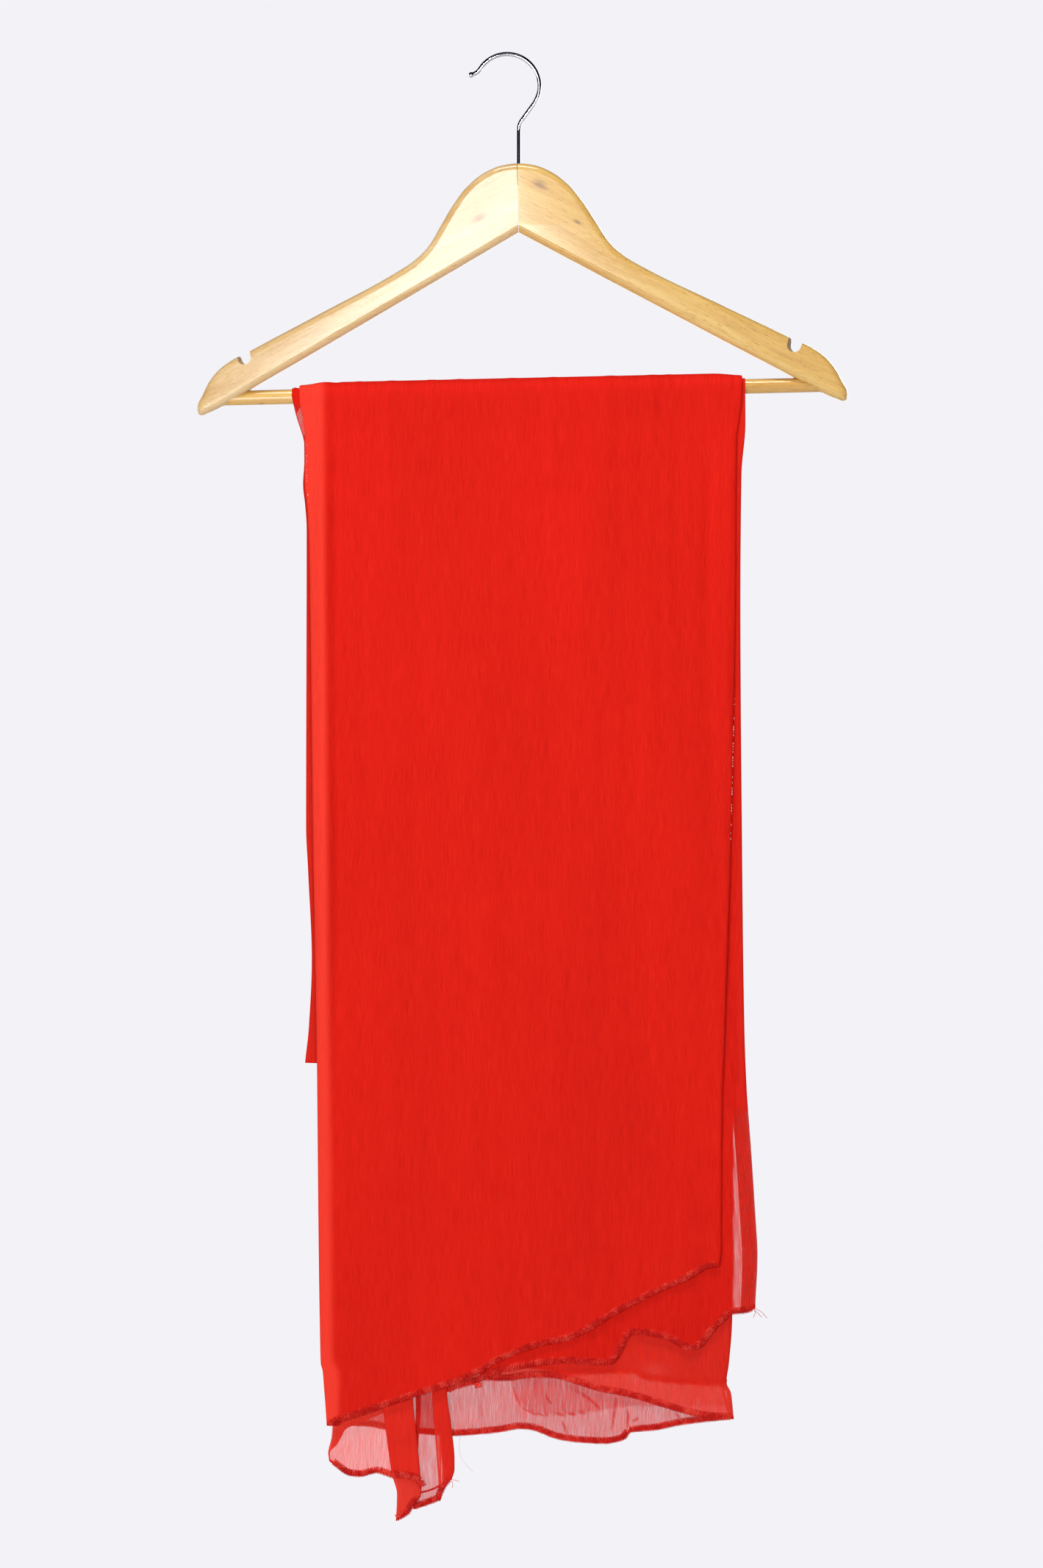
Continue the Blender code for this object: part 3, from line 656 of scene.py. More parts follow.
def ridge_relief(ridges, x, drop):
    total = np.zeros_like(x)
    for ridge in ridges:
        middle = ridge.x + ridge.lean * drop
        across = np.clip((x - middle) / ridge.half_width, -1, 1)
        rise = 1.0 if ridge.top == 0 else eased((drop - ridge.top) / RIDGE_RISE)
        fade = eased((ridge.bottom - drop) / (RIDGE_FADE * (ridge.bottom - ridge.top)))
        total += ridge.height * np.cos(across * np.pi / 2) ** 2 * rise * fade
    return total


def crease_share(crease, x, down):
    """One at the middle of the crease, falling to nothing at its sides and ends."""
    run = np.array([crease.to_x - crease.x, crease.to_down - crease.down])
    length = np.hypot(*run)
    along = ((x - crease.x) * run[0] + (down - crease.down) * run[1]) / length**2
    aside = ((x - crease.x) * run[1] - (down - crease.down) * run[0]) / length
    within = np.clip(along, 0, 1)
    aside = aside - crease.bow * 4 * within * (1 - within)
    shape = np.cos(np.clip(aside / crease.half_width, -1, 1) * np.pi / 2) ** 2
    return shape * np.sin(within * np.pi) ** 0.7


def crease_relief(creases, x, down):
    return sum((c.height * crease_share(c, x, down) for c in creases), np.zeros_like(x))


WAVES = 7


def unevenness(seed, x, drop, height):
    """Long upright waves a few centimetres apart."""
    dice = np.random.default_rng(seed)
    total = np.zeros_like(x)
    for _ in range(WAVES):
        apart = dice.uniform(0.018, 0.075)
        tall = dice.uniform(0.20, 0.60)
        phase = dice.uniform(0, 2 * np.pi, 2)
        total += np.sin(2 * np.pi * x / apart + phase[0] + 1.5 * np.sin(2 * np.pi * drop / tall + phase[1]))
    return total * height / WAVES


print("relief ready")

# %% [markdown]
# ## One shell for each layer
#
# A layer is a grid of points: columns run down the cloth and rows run across it. The rows bend over the bar,
# or start under it, and end on the hem. At the left and right the rows turn round a tiny half circle and run
# back behind, as folded cloth does. Each point also stores its place on the flat cloth. At the end a Solidify
# modifier makes the sheet a closed shell.

# %% Build a grid of cloth
ACROSS = 0.0026           # between columns
ALONG = 0.0042            # between rows
FLAT_STEPS = 4            # columns in the part that is turned under
TURN_STEPS = 4            # columns round a folded edge


def fold_columns(turned, radius):
    """One turned edge from its inner end to the edge: how far in each column is, and how far behind."""
    flat = np.linspace(1.0, 0.0, FLAT_STEPS + 1)[:-1]
    angles = np.linspace(np.pi, 0.0, TURN_STEPS + 1)[:-1]
    inward = np.concatenate([
        radius + flat[None, :] * (turned - radius),
        np.broadcast_to(radius * (1 - np.sin(angles)), (len(turned), TURN_STEPS)),
    ], axis=1)
    behind = np.concatenate([np.full(FLAT_STEPS, 2 * radius), radius * (1 - np.cos(angles))])
    return inward, np.broadcast_to(behind, inward.shape)


def modify(obj, kind, name, **settings):
    modifier = obj.modifiers.new(name, kind)
    for key, value in settings.items():
        setattr(modifier, key, value)


def cloth_mesh(name, points, flat, plies, glow):
    """A sheet through rows and columns of points, with its flat coordinates in metres, plies and glow."""
    rows, columns = points.shape[:2]
    index = np.arange(rows * columns).reshape(rows, columns)
    quads = np.stack([index[:-1, :-1], index[1:, :-1], index[1:, 1:], index[:-1, 1:]], axis=-1)
    quads = quads.reshape(-1, 4)
    mesh = bpy.data.meshes.new(name)
    mesh.from_pydata(points.reshape(-1, 3).tolist(), [], quads.tolist())
    uv = mesh.uv_layers.new(name="cloth")
    uv.data.foreach_set("uv", flat.reshape(-1, 2)[quads.ravel()].ravel())
    mesh.shade_smooth()
    mesh.materials.append(CHIFFON)
    for title, values in (("plies", plies), ("glow", glow)):
        stored = mesh.attributes.new(title, "FLOAT", "POINT")
        stored.data.foreach_set("value", np.broadcast_to(values, (rows, columns)).ravel())
    obj = into_scene(name, mesh)
    modify(obj, "SOLIDIFY", "chiffon_thickness", thickness=SHELL, offset=0)
    return obj


def lengths(points):
    """Distance run along each column of points."""
    runs = np.linalg.norm(np.diff(points, axis=0), axis=2)
    return np.concatenate([np.zeros((1, points.shape[1])), np.cumsum(runs, axis=0)])


print(f"grid of {1000 * ACROSS:.1f} x {1000 * ALONG:.1f} mm")

# %% [markdown]
# The next function is the heart of the stole. It places a whole layer at once: first how far down each row
# is, then where its columns stand between the two edges, then how far the folds lift them, and last the turn
# over the bar.

# %% Hang a layer
FOLD_RADIUS = 0.0003
HEM_DEPTH = 0.0025        # where the edge is turned under in the hem
HEM_PLIES = 4.0
Hung = namedtuple("Hung", "shell points hem")


def with_turn(rows, count):
    """Repeats the first row for those that the turn over the bar puts before it."""
    return np.concatenate([np.repeat(rows[:1], count - len(rows), axis=0), rows])


def glow_of(plies):
    """Painted backlight for a stack: light from behind gets through one layer, and hardly through six."""
    return np.clip(1.6 / plies - 0.2, 0, 1)


def hang_layer(name, layer, depth, plies, seed, ridges=(), creases=(), over_bar=False, start=BAR_DOWN,
               wave=0.0002, flutter=0.0, radius=FOLD_RADIUS, pinch=0.0, loft=0.0, turned_plies=3.0,
               glow=None, crease_plies=0.0, across=ACROSS, along=ALONG, crowd=1.0):
    """depth is the distance from the bar's middle; plies and glow are functions of x and the distance down.

    crowd above 1 draws the rows together towards the hem; loft lifts the turn over the bar.
    """
    first, last = layer.hem[0][0], layer.hem[-1][0]
    count = max(6, round((last - first) / across))
    shares = np.linspace(0, 1, count + 1)
    stations = first + shares * (last - first)
    ends = column(layer.hem, stations)
    fall = max(6, round((ends.max() - start) / along))
    steps = 1 - (1 - np.linspace(0, 1, fall + 1)[:, None]) ** crowd

    down = start + steps * (ends - start)[None, :]
    left = column(layer.left, down)
    x = left + shares[None, :] * (column(layer.right, down) - left)
    left_edge, right_edge = x[:, :1], x[:, -1:]
    left_in, left_back = fold_columns(column(layer.left_fold, down[:, :1]), radius)
    right_in, right_back = fold_columns(column(layer.right_fold, down[:, -1:]), radius)
    x = np.hstack([left_edge + left_in, x[:, 1:-1], (right_edge - right_in)[:, ::-1]])
    turns = left_in.shape[1]
    behind = np.zeros_like(x)
    behind[:, :turns] = left_back
    behind[:, -turns:] = right_back[:, ::-1]
    side = np.concatenate([np.zeros(turns, int), np.arange(1, count), np.full(turns, count)])
    down = down[:, side]
    if start == BAR_DOWN:     # the layer goes over the bar, whose slope its rows follow at first
        drop = down - BAR_DOWN
        z = bar_height(x) * (1 - eased(steps)) - BAR_DOWN * eased(steps) - drop
    else:
        drop = down + bar_height(x)
        z = -down
    to_hem = ends[side][None, :] - down
    lift = ridge_relief(ridges, x, drop) + crease_relief(creases, x, down)
    lift += unevenness(seed, x, drop, wave) * eased(drop / 0.05)
    lift += flutter * np.sin(x * 2 * np.pi / 0.031 + seed + 2 * np.sin(x * 90)) * np.exp(-to_hem / 0.012)
    narrow = (eased((-0.122 - x) / 0.020) + eased((x - 0.140) / 0.022)) * pinch * (1 - eased(drop / 0.03))
    out = depth + lift - behind - narrow + loft * (1 - eased(drop / 0.03))
    front = np.stack([x, BAR_Y - out, z], axis=-1)
    if over_bar:
        front = np.concatenate([bar_turn(x[:1], out[:1] - lift[:1], lift[:1]), front[1:]])
    run = lengths(front)
    unfolded = x.copy()
    unfolded[:, :turns] = left_edge - left_in
    unfolded[:, -turns:] = (right_edge + right_in)[:, ::-1]
    flat = np.stack([with_turn(unfolded, len(front)) + seed * 0.37, -run], axis=-1)
    counts = plies(x, down)
    glows = glow(x, down) if glow else glow_of(counts)
    counts = counts + crease_plies * sum((crease_share(c, x, down) for c in creases), np.zeros_like(x))
    in_hem = eased((HEM_DEPTH - to_hem) / 0.0006)
    counts = counts + HEM_PLIES * in_hem
    glows = glows * (1 - in_hem)
    counts[:, :turns - TURN_STEPS] = turned_plies
    counts[:, len(side) - turns + TURN_STEPS:] = turned_plies
    shell = cloth_mesh(name, front, flat, with_turn(counts, len(front)), with_turn(glows, len(front)))
    return Hung(shell, front, front[-1, turns: len(side) - turns])


def bar_turn(x, out, lift, steps=18):
    """Rows from the seam behind the bar, up and over it, to its front."""
    height = bar_height(x)
    rows = [np.stack([x, BAR_Y + out, height - BACK_SEAM], axis=-1)]
    for step in range(steps + 1):
        angle = math.pi * step / steps
        reach = out + lift * step / steps
        rows.append(np.stack([x, BAR_Y + reach * math.cos(angle), height + reach * math.sin(angle)], axis=-1))
    return np.concatenate(rows)


print("layer builder ready")

# %% [markdown]
# ## Put each piece on the body
#
# Every shell rides on the one body of this object and replaces its plain solid.

# %% Hang the wide layers
def declare(obj, slot, *nodes):
    """Every piece rides on the one body; its slot, meant to name its finish, is not used. Some replace a
    plain solid.
    """
    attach(obj, "root")
    if nodes:
        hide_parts(*nodes)


def dress(obj):
    """A sheet of cloth is named after the solid that it replaces."""
    declare(obj, "chiffon", obj.name.removesuffix("_chiffon"))


def front_plies(x, down):
    return 3.5 + 2.5 * eased((x + 0.1290) / 0.007)


def front_glow(x, down):
    """Painted backlight: between the left fold and the next one there are few layers, so the wall behind
    shines through.
    """
    inner_fold = -0.1250 + 0.006 * (down - 0.25) / 0.65 + 0.004 * eased((down - 0.885) / 0.012)
    return 0.06 + 0.84 * eased(0.5 - (x - inner_fold) / 0.006)


def second_plies(x, down):
    """Many folds end at the right; low down one layer reaches further out. At the top left it is sheer."""
    sheer_right = eased((x - 0.1530) / 0.0012) * eased((down - 0.715) / 0.004)
    sheer_left = eased((-0.1350 - x) / 0.0020) * eased((down - 0.2335) / 0.002)
    return 4.5 - 3.3 * sheer_right - 3.7 * sheer_left


# painted backlight of the second layer, a little more at its thin right edge
def second_glow(x, down):
    return 0.25 * glow_of(second_plies(x, down)) + 0.12 * eased((x - 0.1560) / 0.0020)


# painted backlight, the same small share everywhere
def faint_glow(x, down):
    return np.full_like(x, 0.10)


def inner_hem(x):
    """The hem of a layer behind the third one, seen through it."""
    return column(INNER_HEM, x)


def third_plies(x, down):
    bubble = np.exp(-((x - 0.1005) / 0.012) ** 2 - ((down - 0.8945) / 0.0055) ** 2)
    band = np.exp(-((inner_hem(x) - down - 0.0012) / 0.0011) ** 2)
    return 1.35 + 2.0 * eased((inner_hem(x) - down) / 0.001 + 0.5) + 1.6 * band - 1.6 * bubble


def fourth_plies(x, down):
    """A little denser above a drooping line, where another layer hangs behind."""
    droop = column(FOURTH_DROOP, x)
    return 1.0 + 0.45 * eased((droop - down) / 0.0012 + 0.5)


INNER_HEM = [
    (-0.0600, 0.8850), (0.0300, 0.8950), (0.0400, 0.8978), (0.0528, 0.8970), (0.0855, 0.8963),
    (0.0925, 0.8998), (0.1020, 0.9018), (0.1225, 0.9038), (0.1500, 0.9048),
]
FOURTH_DROOP = [
    (-0.1190, 0.8850), (-0.0010, 0.8950), (0.0040, 0.9020), (0.0080, 0.9150), (0.0185, 0.9228),
    (0.0340, 0.9246), (0.0570, 0.9228), (0.0900, 0.9190), (0.1530, 0.9190),
]

front = hang_layer(
    "front_panel_chiffon", FRONT_PANEL, OUTER_RADIUS + 0.0005, front_plies, 3, FRONT_RIDGES, FRONT_CREASES,
    over_bar=True, wave=0.0005, flutter=0.0005, radius=0.00045, pinch=0.0016, loft=0.0010, turned_plies=2.0,
    glow=front_glow, across=0.0016,
)
second = hang_layer(
    "second_layer_chiffon", SECOND_LAYER, INNER_RADIUS + 0.0003, second_plies, 5, SECOND_RIDGES,
    over_bar=True, pinch=0.0009, glow=second_glow, across=0.0019,
)
third = hang_layer(
    "third_layer_chiffon", THIRD_LAYER, INNER_RADIUS - PITCH, third_plies, 7,
    start=INNER_START, across=0.0020, along=0.0055, crowd=1.8,
)
fourth = hang_layer(
    "fourth_layer_chiffon", FOURTH_LAYER, INNER_RADIUS - 2 * PITCH, fourth_plies, 9, (), FOURTH_CREASES,
    start=INNER_START, flutter=0.0006, crease_plies=1.4, glow=faint_glow, across=0.0011, along=0.0052,
    crowd=2.0,
)
dress(front.shell)
dress(second.shell)
dress(third.shell)
dress(fourth.shell)
print("hem points:", [len(layer.hem) for layer in (front, second, third, fourth)])

# %% Hang the corner, gore and strips
def sheer_plies(x, down):
    return np.full_like(x, 0.85)


def left_strip_plies(x, down):
    """Solid with folds, but below the loop of its hem only two layers reach on."""
    return 4.0 - 2.4 * eased((down - loop_hem(x)) / 0.0015)


# painted backlight of the left strip
def strip_glow(x, down):
    return 0.12 + glow_of(left_strip_plies(x, down))


def loop_hem(x):
    return column(LOOP_HEM, x)


def right_strip_plies(x, down):
    """Its left margin is a single layer lower down."""
    margin = column(RIGHT_STRIP.left, down) + 0.0030
    return 3.8 - 2.6 * eased((margin - x) / 0.0010 + 0.5) * eased((down - 0.934) / 0.006)


LOOP_HEM = [
    (-0.0800, 0.9660), (-0.0760, 0.9671), (-0.0700, 0.9676), (-0.0650, 0.9684), (-0.0612, 0.9704),
    (-0.0585, 0.9745),
]

corner = hang_layer(
    "corner_flap_chiffon", CORNER_FLAP, INNER_RADIUS - PITCH, sheer_plies, 11, start=FLAP_START,
    wave=0.0001, flutter=0.0004, across=0.0018, along=0.0014,
)
gore = hang_layer(
    "tail_gore_chiffon", TAIL_GORE, INNER_RADIUS - PITCH, sheer_plies, 13, start=FLAP_START,
    wave=0.0001, glow=faint_glow, across=0.0015, along=0.0016,
)
left_strip = hang_layer(
    "left_strip_chiffon", LEFT_STRIP, INNER_RADIUS, left_strip_plies, 15, start=STRIP_START,
    wave=0.0001, turned_plies=2.5, glow=strip_glow, across=0.0012, along=0.0016,
)
right_strip = hang_layer(
    "right_strip_chiffon", RIGHT_STRIP, INNER_RADIUS, right_strip_plies, 17, start=STRIP_START,
    wave=0.0001, turned_plies=1.5, across=0.0009, along=0.0020,
)
dress(corner.shell)
dress(gore.shell)
dress(left_strip.shell)
dress(right_strip.shell)
print("narrow pieces end at", [round(float(p.hem[:, 2].min()), 3) for p in (corner, gore, left_strip)])

# %% [markdown]
# ## The back of the stole
#
# Behind the bar the cloth falls to its middle, turns up round a soft fold and rises again inside. It is one
# sheet, so it is built as one: down the outside, round, and up.

# %% Hang the back
def hang_back(name, seed=21):
    first, last = BACK_FALL.hem[0][0], BACK_FALL.hem[-1][0]
    count = round((last - first) / ACROSS)
    shares = np.linspace(0, 1, count + 1)[None, :]
    ends = column(BACK_FALL.hem, first + shares * (last - first))
    top = BAR_DOWN + BACK_SEAM + CLOTH_GAP
    steps = np.linspace(0, 1, round((ends.max() - top) / ALONG))[:, None]
    down = top + steps * (ends - top)
    left = column(BACK_FALL.left, down)
    right = column(BACK_FALL.right, down)
    x = left + shares * (right - left)
    drop = down - BAR_DOWN
    lift = ridge_relief(BACK_RIDGES, x, drop) + unevenness(seed, x, drop, 0.0004) * eased(drop / 0.05)
    z = bar_height(x) * (1 - eased(steps)) - BAR_DOWN * eased(steps) - drop
    outer = np.stack([x, BAR_Y + OUTER_RADIUS + lift, z], axis=-1)
    inner = outer - np.array([0, PITCH, 0])
    turn = []
    for angle in np.linspace(0, np.pi, 7)[1:-1]:
        bulge = PITCH / 2 * np.array([0, math.cos(angle) - 1, -math.sin(angle)])
        turn.append(outer[-1] + bulge)
    points = np.concatenate([outer, np.array(turn), inner[::-1]])
    run = lengths(points)
    flat = np.stack([np.broadcast_to(x[0][None, :], run.shape), -run], axis=-1)
    plies = 3.5 - 3.2 * eased((-0.1350 - points[..., 0]) / 0.002) * eased((points[..., 2] + 0.262) / 0.004)
    return cloth_mesh(name, points, flat, plies, glow_of(plies))


back_fall = hang_back("back_fall_chiffon")
dress(back_fall)
print("the back reaches", round(back_fall.bound_box[0][2], 3))

# %% [markdown]
# ## Overlocked hems
#
# The short ends of the stole are overlocked: thread winds round the raw edge in close slanting loops. That is
# a shape which follows a path, so Geometry Nodes make it. The tree takes a hem line, steps along it in small
# pieces, and pushes each step round a flat ring, so that the line becomes a wound thread. Then a small circle
# swept along it gives the thread its body.

# %% A tree that winds thread round an edge
STITCH_PITCH = 0.0011
BAND_WIDTH = 0.0046
BAND_DEPTH = 0.0011
THREAD_RADIUS = 0.00038
STEPS_PER_STITCH = 9


class Tree(Nodes):
    """A Geometry Nodes tree with named inputs."""

    prefix = "GeometryNode"

    def __init__(self, name, **inputs):
        super().__init__(bpy.data.node_groups.new(name, "GeometryNodeTree"))
        face = self.tree.interface
        face.new_socket("Geometry", in_out="INPUT", socket_type="NodeSocketGeometry")
        for title, kind in inputs.items():
            face.new_socket(title.replace("_", " "), in_out="INPUT", socket_type="NodeSocket" + kind)
        face.new_socket("Geometry", in_out="OUTPUT", socket_type="NodeSocketGeometry")
        self.start = self.node("NodeGroupInput")

    def get(self, title):
        return self.start.outputs[title]

    def scaled(self, vector, factor):
        made = self.node("ShaderNodeVectorMath", {"operation": "SCALE"}, Vector=vector, Scale=factor)
        return made.outputs["Vector"]

    def finish(self, geometry, material):
        """Every tree ends the same way: real geometry, smooth, with its material."""
        real = self.node("RealizeInstances", Geometry=geometry)
        smooth = self.node("SetShadeSmooth", Geometry=real.outputs["Geometry"])
        painted = self.node("SetMaterial", Geometry=smooth.outputs["Geometry"], Material=material)
        self.node("NodeGroupOutput", Geometry=painted.outputs["Geometry"])
        return self.tree


def overlock_tree():
    tree = Tree(
        "overlock", Pitch="Float", Width="Float", Depth="Float", Thread_radius="Float", Unevenness="Float",
        Seed="Float", Thread="Material",
    )
    step = tree.maths("DIVIDE", tree.get("Pitch"), float(STEPS_PER_STITCH))
    line = tree.node("ResampleCurve", {"mode": "LENGTH"}, Curve=tree.get("Geometry"), Length=step)
    run = tree.node("SplineParameter").outputs["Length"]
    turn = tree.maths("MULTIPLY", tree.maths("DIVIDE", run, tree.get("Pitch")), 2 * math.pi)
    wobble = tree.node(
        "ShaderNodeTexNoise", {"noise_dimensions": "4D"}, Scale=420.0, Detail=2.0, W=tree.get("Seed"),
        Vector=tree.node("InputPosition").outputs["Position"],
    )
    swing = tree.maths("SUBTRACT", wobble.outputs["Fac"], 0.5)
    loose = tree.maths("ADD", 1.0, tree.maths("MULTIPLY", swing, tree.get("Unevenness")))
    tangent = tree.node("InputTangent").outputs["Tangent"]
    up = tree.vector("NORMALIZE", tree.vector("CROSS_PRODUCT", (0.0, -1.0, 0.0), tangent))
    half = tree.maths("MULTIPLY", tree.get("Width"), 0.5)
    rise = tree.maths("MULTIPLY", tree.maths("MULTIPLY", tree.maths("COSINE", turn), half), loose)
    rise = tree.maths("ADD", rise, tree.maths("MULTIPLY", half, 0.72))
    half_depth = tree.maths("MULTIPLY", tree.get("Depth"), 0.5)
    out = tree.maths("MULTIPLY", tree.maths("SINE", turn), half_depth)
    forward = tree.vector("MULTIPLY", (0.0, 1.0, 0.0), tree.scaled((1.0, 1.0, 1.0), out))
    offset = tree.vector("ADD", tree.scaled(up, rise), forward)
    wound = tree.node("SetPosition", Geometry=line.outputs["Curve"], Offset=offset)
    ring = tree.node("CurvePrimitiveCircle", Resolution=5, Radius=tree.get("Thread radius"))
    tube = tree.node(
        "CurveToMesh", Curve=wound.outputs["Geometry"], Profile_Curve=ring.outputs["Curve"], Fill_Caps=True
    )
    return tree.finish(tube.outputs["Mesh"], tree.get("Thread"))


OVERLOCK = overlock_tree()
print("tree inputs:", [s.name for s in OVERLOCK.interface.items_tree if s.in_out == "INPUT"])

# %% [markdown]
# A modifier's inputs are known by identifiers, not by their names, so a small function looks them up. The
# evaluated result is then kept as a plain mesh.

# %% Run a tree along a line and keep its mesh


def line_object(name, points):
    curve = bpy.data.curves.new(name, "CURVE")
    curve.dimensions = "3D"
    spline = curve.splines.new("POLY")
    spline.points.add(len(points) - 1)
    for target, point in zip(spline.points, points):
        target.co = (*point, 1.0)
    return into_scene(name, curve)


def baked(name, source, group, **values):
    """Runs the tree on the source object and returns its result as a plain mesh object."""
    modifier = source.modifiers.new(group.name, "NODES")
    modifier.node_group = group
    sockets = {s.name: s.identifier for s in group.interface.items_tree if s.in_out == "INPUT"}
    for title, value in values.items():
        modifier[sockets[title.replace("_", " ")]] = value
    graph = bpy.context.evaluated_depsgraph_get()
    mesh = bpy.data.meshes.new_from_object(source.evaluated_get(graph), depsgraph=graph)
    bpy.data.objects.remove(source, do_unlink=True)
    mesh.name = name
    return into_scene(name, mesh)


def overlock(name, points, seed, **sizes):
    """Winds thread along a line of points. Sizes are named after the tree's inputs."""
    usual = {
        "Pitch": STITCH_PITCH, "Width": BAND_WIDTH, "Depth": BAND_DEPTH, "Thread_radius": THREAD_RADIUS,
        "Unevenness": 0.35,
    }
    line = line_object(name + "_line", points)
    obj = baked(name, line, OVERLOCK, **(usual | sizes), Seed=float(seed), Thread=THREAD)
    declare(obj, "chiffon")
    return obj


def from_x(points, first):
    """The stretch of a hem that starts at a place."""
    return [p for p in points if p[0] >= first]


def along_table(table, first, last, out):
    """Points on a table's curve between two places, at a distance in front of the bar's middle."""
    places = np.linspace(first, last, round((last - first) / 0.0010))
    downs = column(table, places)
    return np.stack([places, np.full(len(places), BAR_Y - out), -downs], axis=-1)


GORE_LINE = [(-0.0610, 0.9788), (-0.0530, 0.9768), (-0.0470, 0.9742), (-0.0445, 0.9720)]
HEMS = [
    ("front_hem", front.hem),
    ("second_hem", from_x(second.hem, -0.0195)),
    ("third_hem", from_x(third.hem, -0.0405)),
    ("fourth_hem", fourth.hem),
    ("corner_hem", corner.hem),
    ("gore_hem", gore.hem),
    ("left_strip_hem", left_strip.hem),
    ("right_strip_hem", right_strip.hem),
    ("loop_hem", along_table(LOOP_HEM, -0.0780, -0.0587, INNER_RADIUS + 0.0009)),
    ("inner_hem", along_table(INNER_HEM, 0.0150, 0.1495, INNER_RADIUS - PITCH - 0.0009)),
    ("gore_line", along_table(GORE_LINE, -0.0600, -0.0450, INNER_RADIUS - PITCH - 0.0008)),
]
NARROW = {"gore_line": {"Width": 0.0010}}
hems = [overlock(name, points, seed, **NARROW.get(name, {})) for seed, (name, points) in enumerate(HEMS)]
print("hem triangles:", sum(2 * len(hem.data.polygons) for hem in hems))

# %% [markdown]
# Where the folded edge was once stitched, a broken row of pale marks is left in the cloth. They repeat along
# a line too: a tree places a small flat bead at each step, leaves some out and makes no two the same size.

# %% Marks of the needle along the edges


def marks_tree():
    tree = Tree(
        "needle_marks", Pitch="Float", Radius="Float", Share_kept="Float", Seed="Int", Pale="Material"
    )
    pitch = tree.get("Pitch")
    steps = tree.node("CurveToPoints", {"mode": "LENGTH"}, Curve=tree.get("Geometry"), Length=pitch)
    chance = tree.node("FunctionNodeRandomValue", {"data_type": "FLOAT"}, Seed=tree.get("Seed"))
    left_out = tree.node(
        "FunctionNodeCompare", {"operation": "GREATER_THAN"}, A=chance.outputs["Value"],
        B=tree.get("Share kept"),
    )
    kept = tree.node("DeleteGeometry", Geometry=steps.outputs["Points"], Selection=left_out.outputs["Result"])
    bead = tree.node("MeshIcoSphere", Radius=tree.get("Radius"), Subdivisions=1)
    sizes = tree.node(
        "FunctionNodeRandomValue", {"data_type": "FLOAT_VECTOR"}, Seed=tree.get("Seed"), Min=(0.5, 0.4, 0.8),
        Max=(1.2, 0.8, 3.4),
    )
    placed = tree.node(
        "InstanceOnPoints", Points=kept.outputs["Geometry"], Instance=bead.outputs["Mesh"],
        Scale=sizes.outputs["Value"],
    )
    return tree.finish(placed.outputs["Instances"], tree.get("Pale"))


MARK_OUT = 0.00040


def on_cloth(layer, x, down):
    """The point of a layer's surface in front of a place, from its nearest grid points."""
    grid = layer.points.reshape(-1, 3)
    away = np.hypot(grid[:, 0] - x, grid[:, 2] + down) + 1e-5
    near = np.argsort(away)[:4]
    return (x, float(np.average(grid[near, 1], weights=1 / away[near])) - MARK_OUT, -down)


PALE_THREAD = Paint("pale_thread", Base_Color=(0.92, 0.50, 0.48, 1.0), Roughness=0.6).material
MARKS = marks_tree()
MARK_LINES = {
    "left_marks": [
        (-0.1363, 0.2620), (-0.1366, 0.2750), (-0.1364, 0.2920), (-0.1345, 0.3100), (-0.1335, 0.3300),
        (-0.1318, 0.4500), (-0.1303, 0.5620),
    ],
    "right_marks": [(0.1550, 0.4370), (0.1540, 0.4660), (0.1528, 0.5150), (0.1512, 0.5600)],
}
for seed, (title, places) in enumerate(MARK_LINES.items()):
    downs = np.arange(places[0][1], places[-1][1], 0.002)
    xs = np.interp(downs, [p[1] for p in places], [p[0] for p in places])
    line = line_object(title + "_line", [on_cloth(front, x, down) for x, down in zip(xs, downs)])
    marks = baked(
        title, line, MARKS, Pitch=0.0019, Radius=0.00032, Share_kept=0.55, Seed=seed + 4, Pale=PALE_THREAD
    )
    declare(marks, "chiffon")
    print(title, len(marks.data.polygons), "faces")

# %% [markdown]
# ## The wooden hanger
#
# Each arm is sawn from a board to one outline, its edges are rounded over, and the two are joined in the
# middle at a slight angle, so both sweep back. A curve with a bevel gives exactly that: a flat outline with a
# thickness and a rounded edge. Then the notch, the socket for the bar and the hole for the hook are cut.

# %% Draw the outline of an arm
HANGER_WIDTH = 0.445
ARM_THICK = 0.014
ARM_ROUNDING = 0.0045
NOTCH_WIDTH = 0.0092
NOTCH_TILT = math.radians(12)
NOTCH_SLANT = math.radians(-12)
EDGE_BREAK = 0.0005
NOTCH_AT = (0.1875, -0.1272)
MITRE_BOX = 0.1
WIRE_RADIUS = 0.0015
SHANK_DEPTH = 0.02

ARM_OUTLINE = [
    (-0.0060, 0.0000), (0.0040, 0.0000), (0.0180, -0.0035), (0.0335, -0.0140), (0.0438, -0.0265),
    (0.0530, -0.0410), (0.0616, -0.0545), (0.0703, -0.0630), (0.0836, -0.0715), (0.1360, -0.0980),
    (0.1813, -0.1205), (0.2034, -0.1320), (0.2126, -0.1410), (0.2184, -0.1513), (HANGER_WIDTH / 2, -0.1612),
    (0.2206, -0.1652), (0.2150, -0.1640), (0.1770, -0.1439), (0.0970, -0.1003), (0.0000, -0.0468),
    (-0.0060, -0.0435),
]
HANGER = Matrix.Translation(APEX) @ Euler((0, -TILT, 0)).to_matrix().to_4x4()
BAR_AXIS = HANGER @ Matrix.Translation((0, BAR_Y, -BAR_BELOW_APEX)) @ Matrix.Rotation(math.pi / 2, 4, "Y")
print("outline points:", len(ARM_OUTLINE))

# %% Cut the two arms


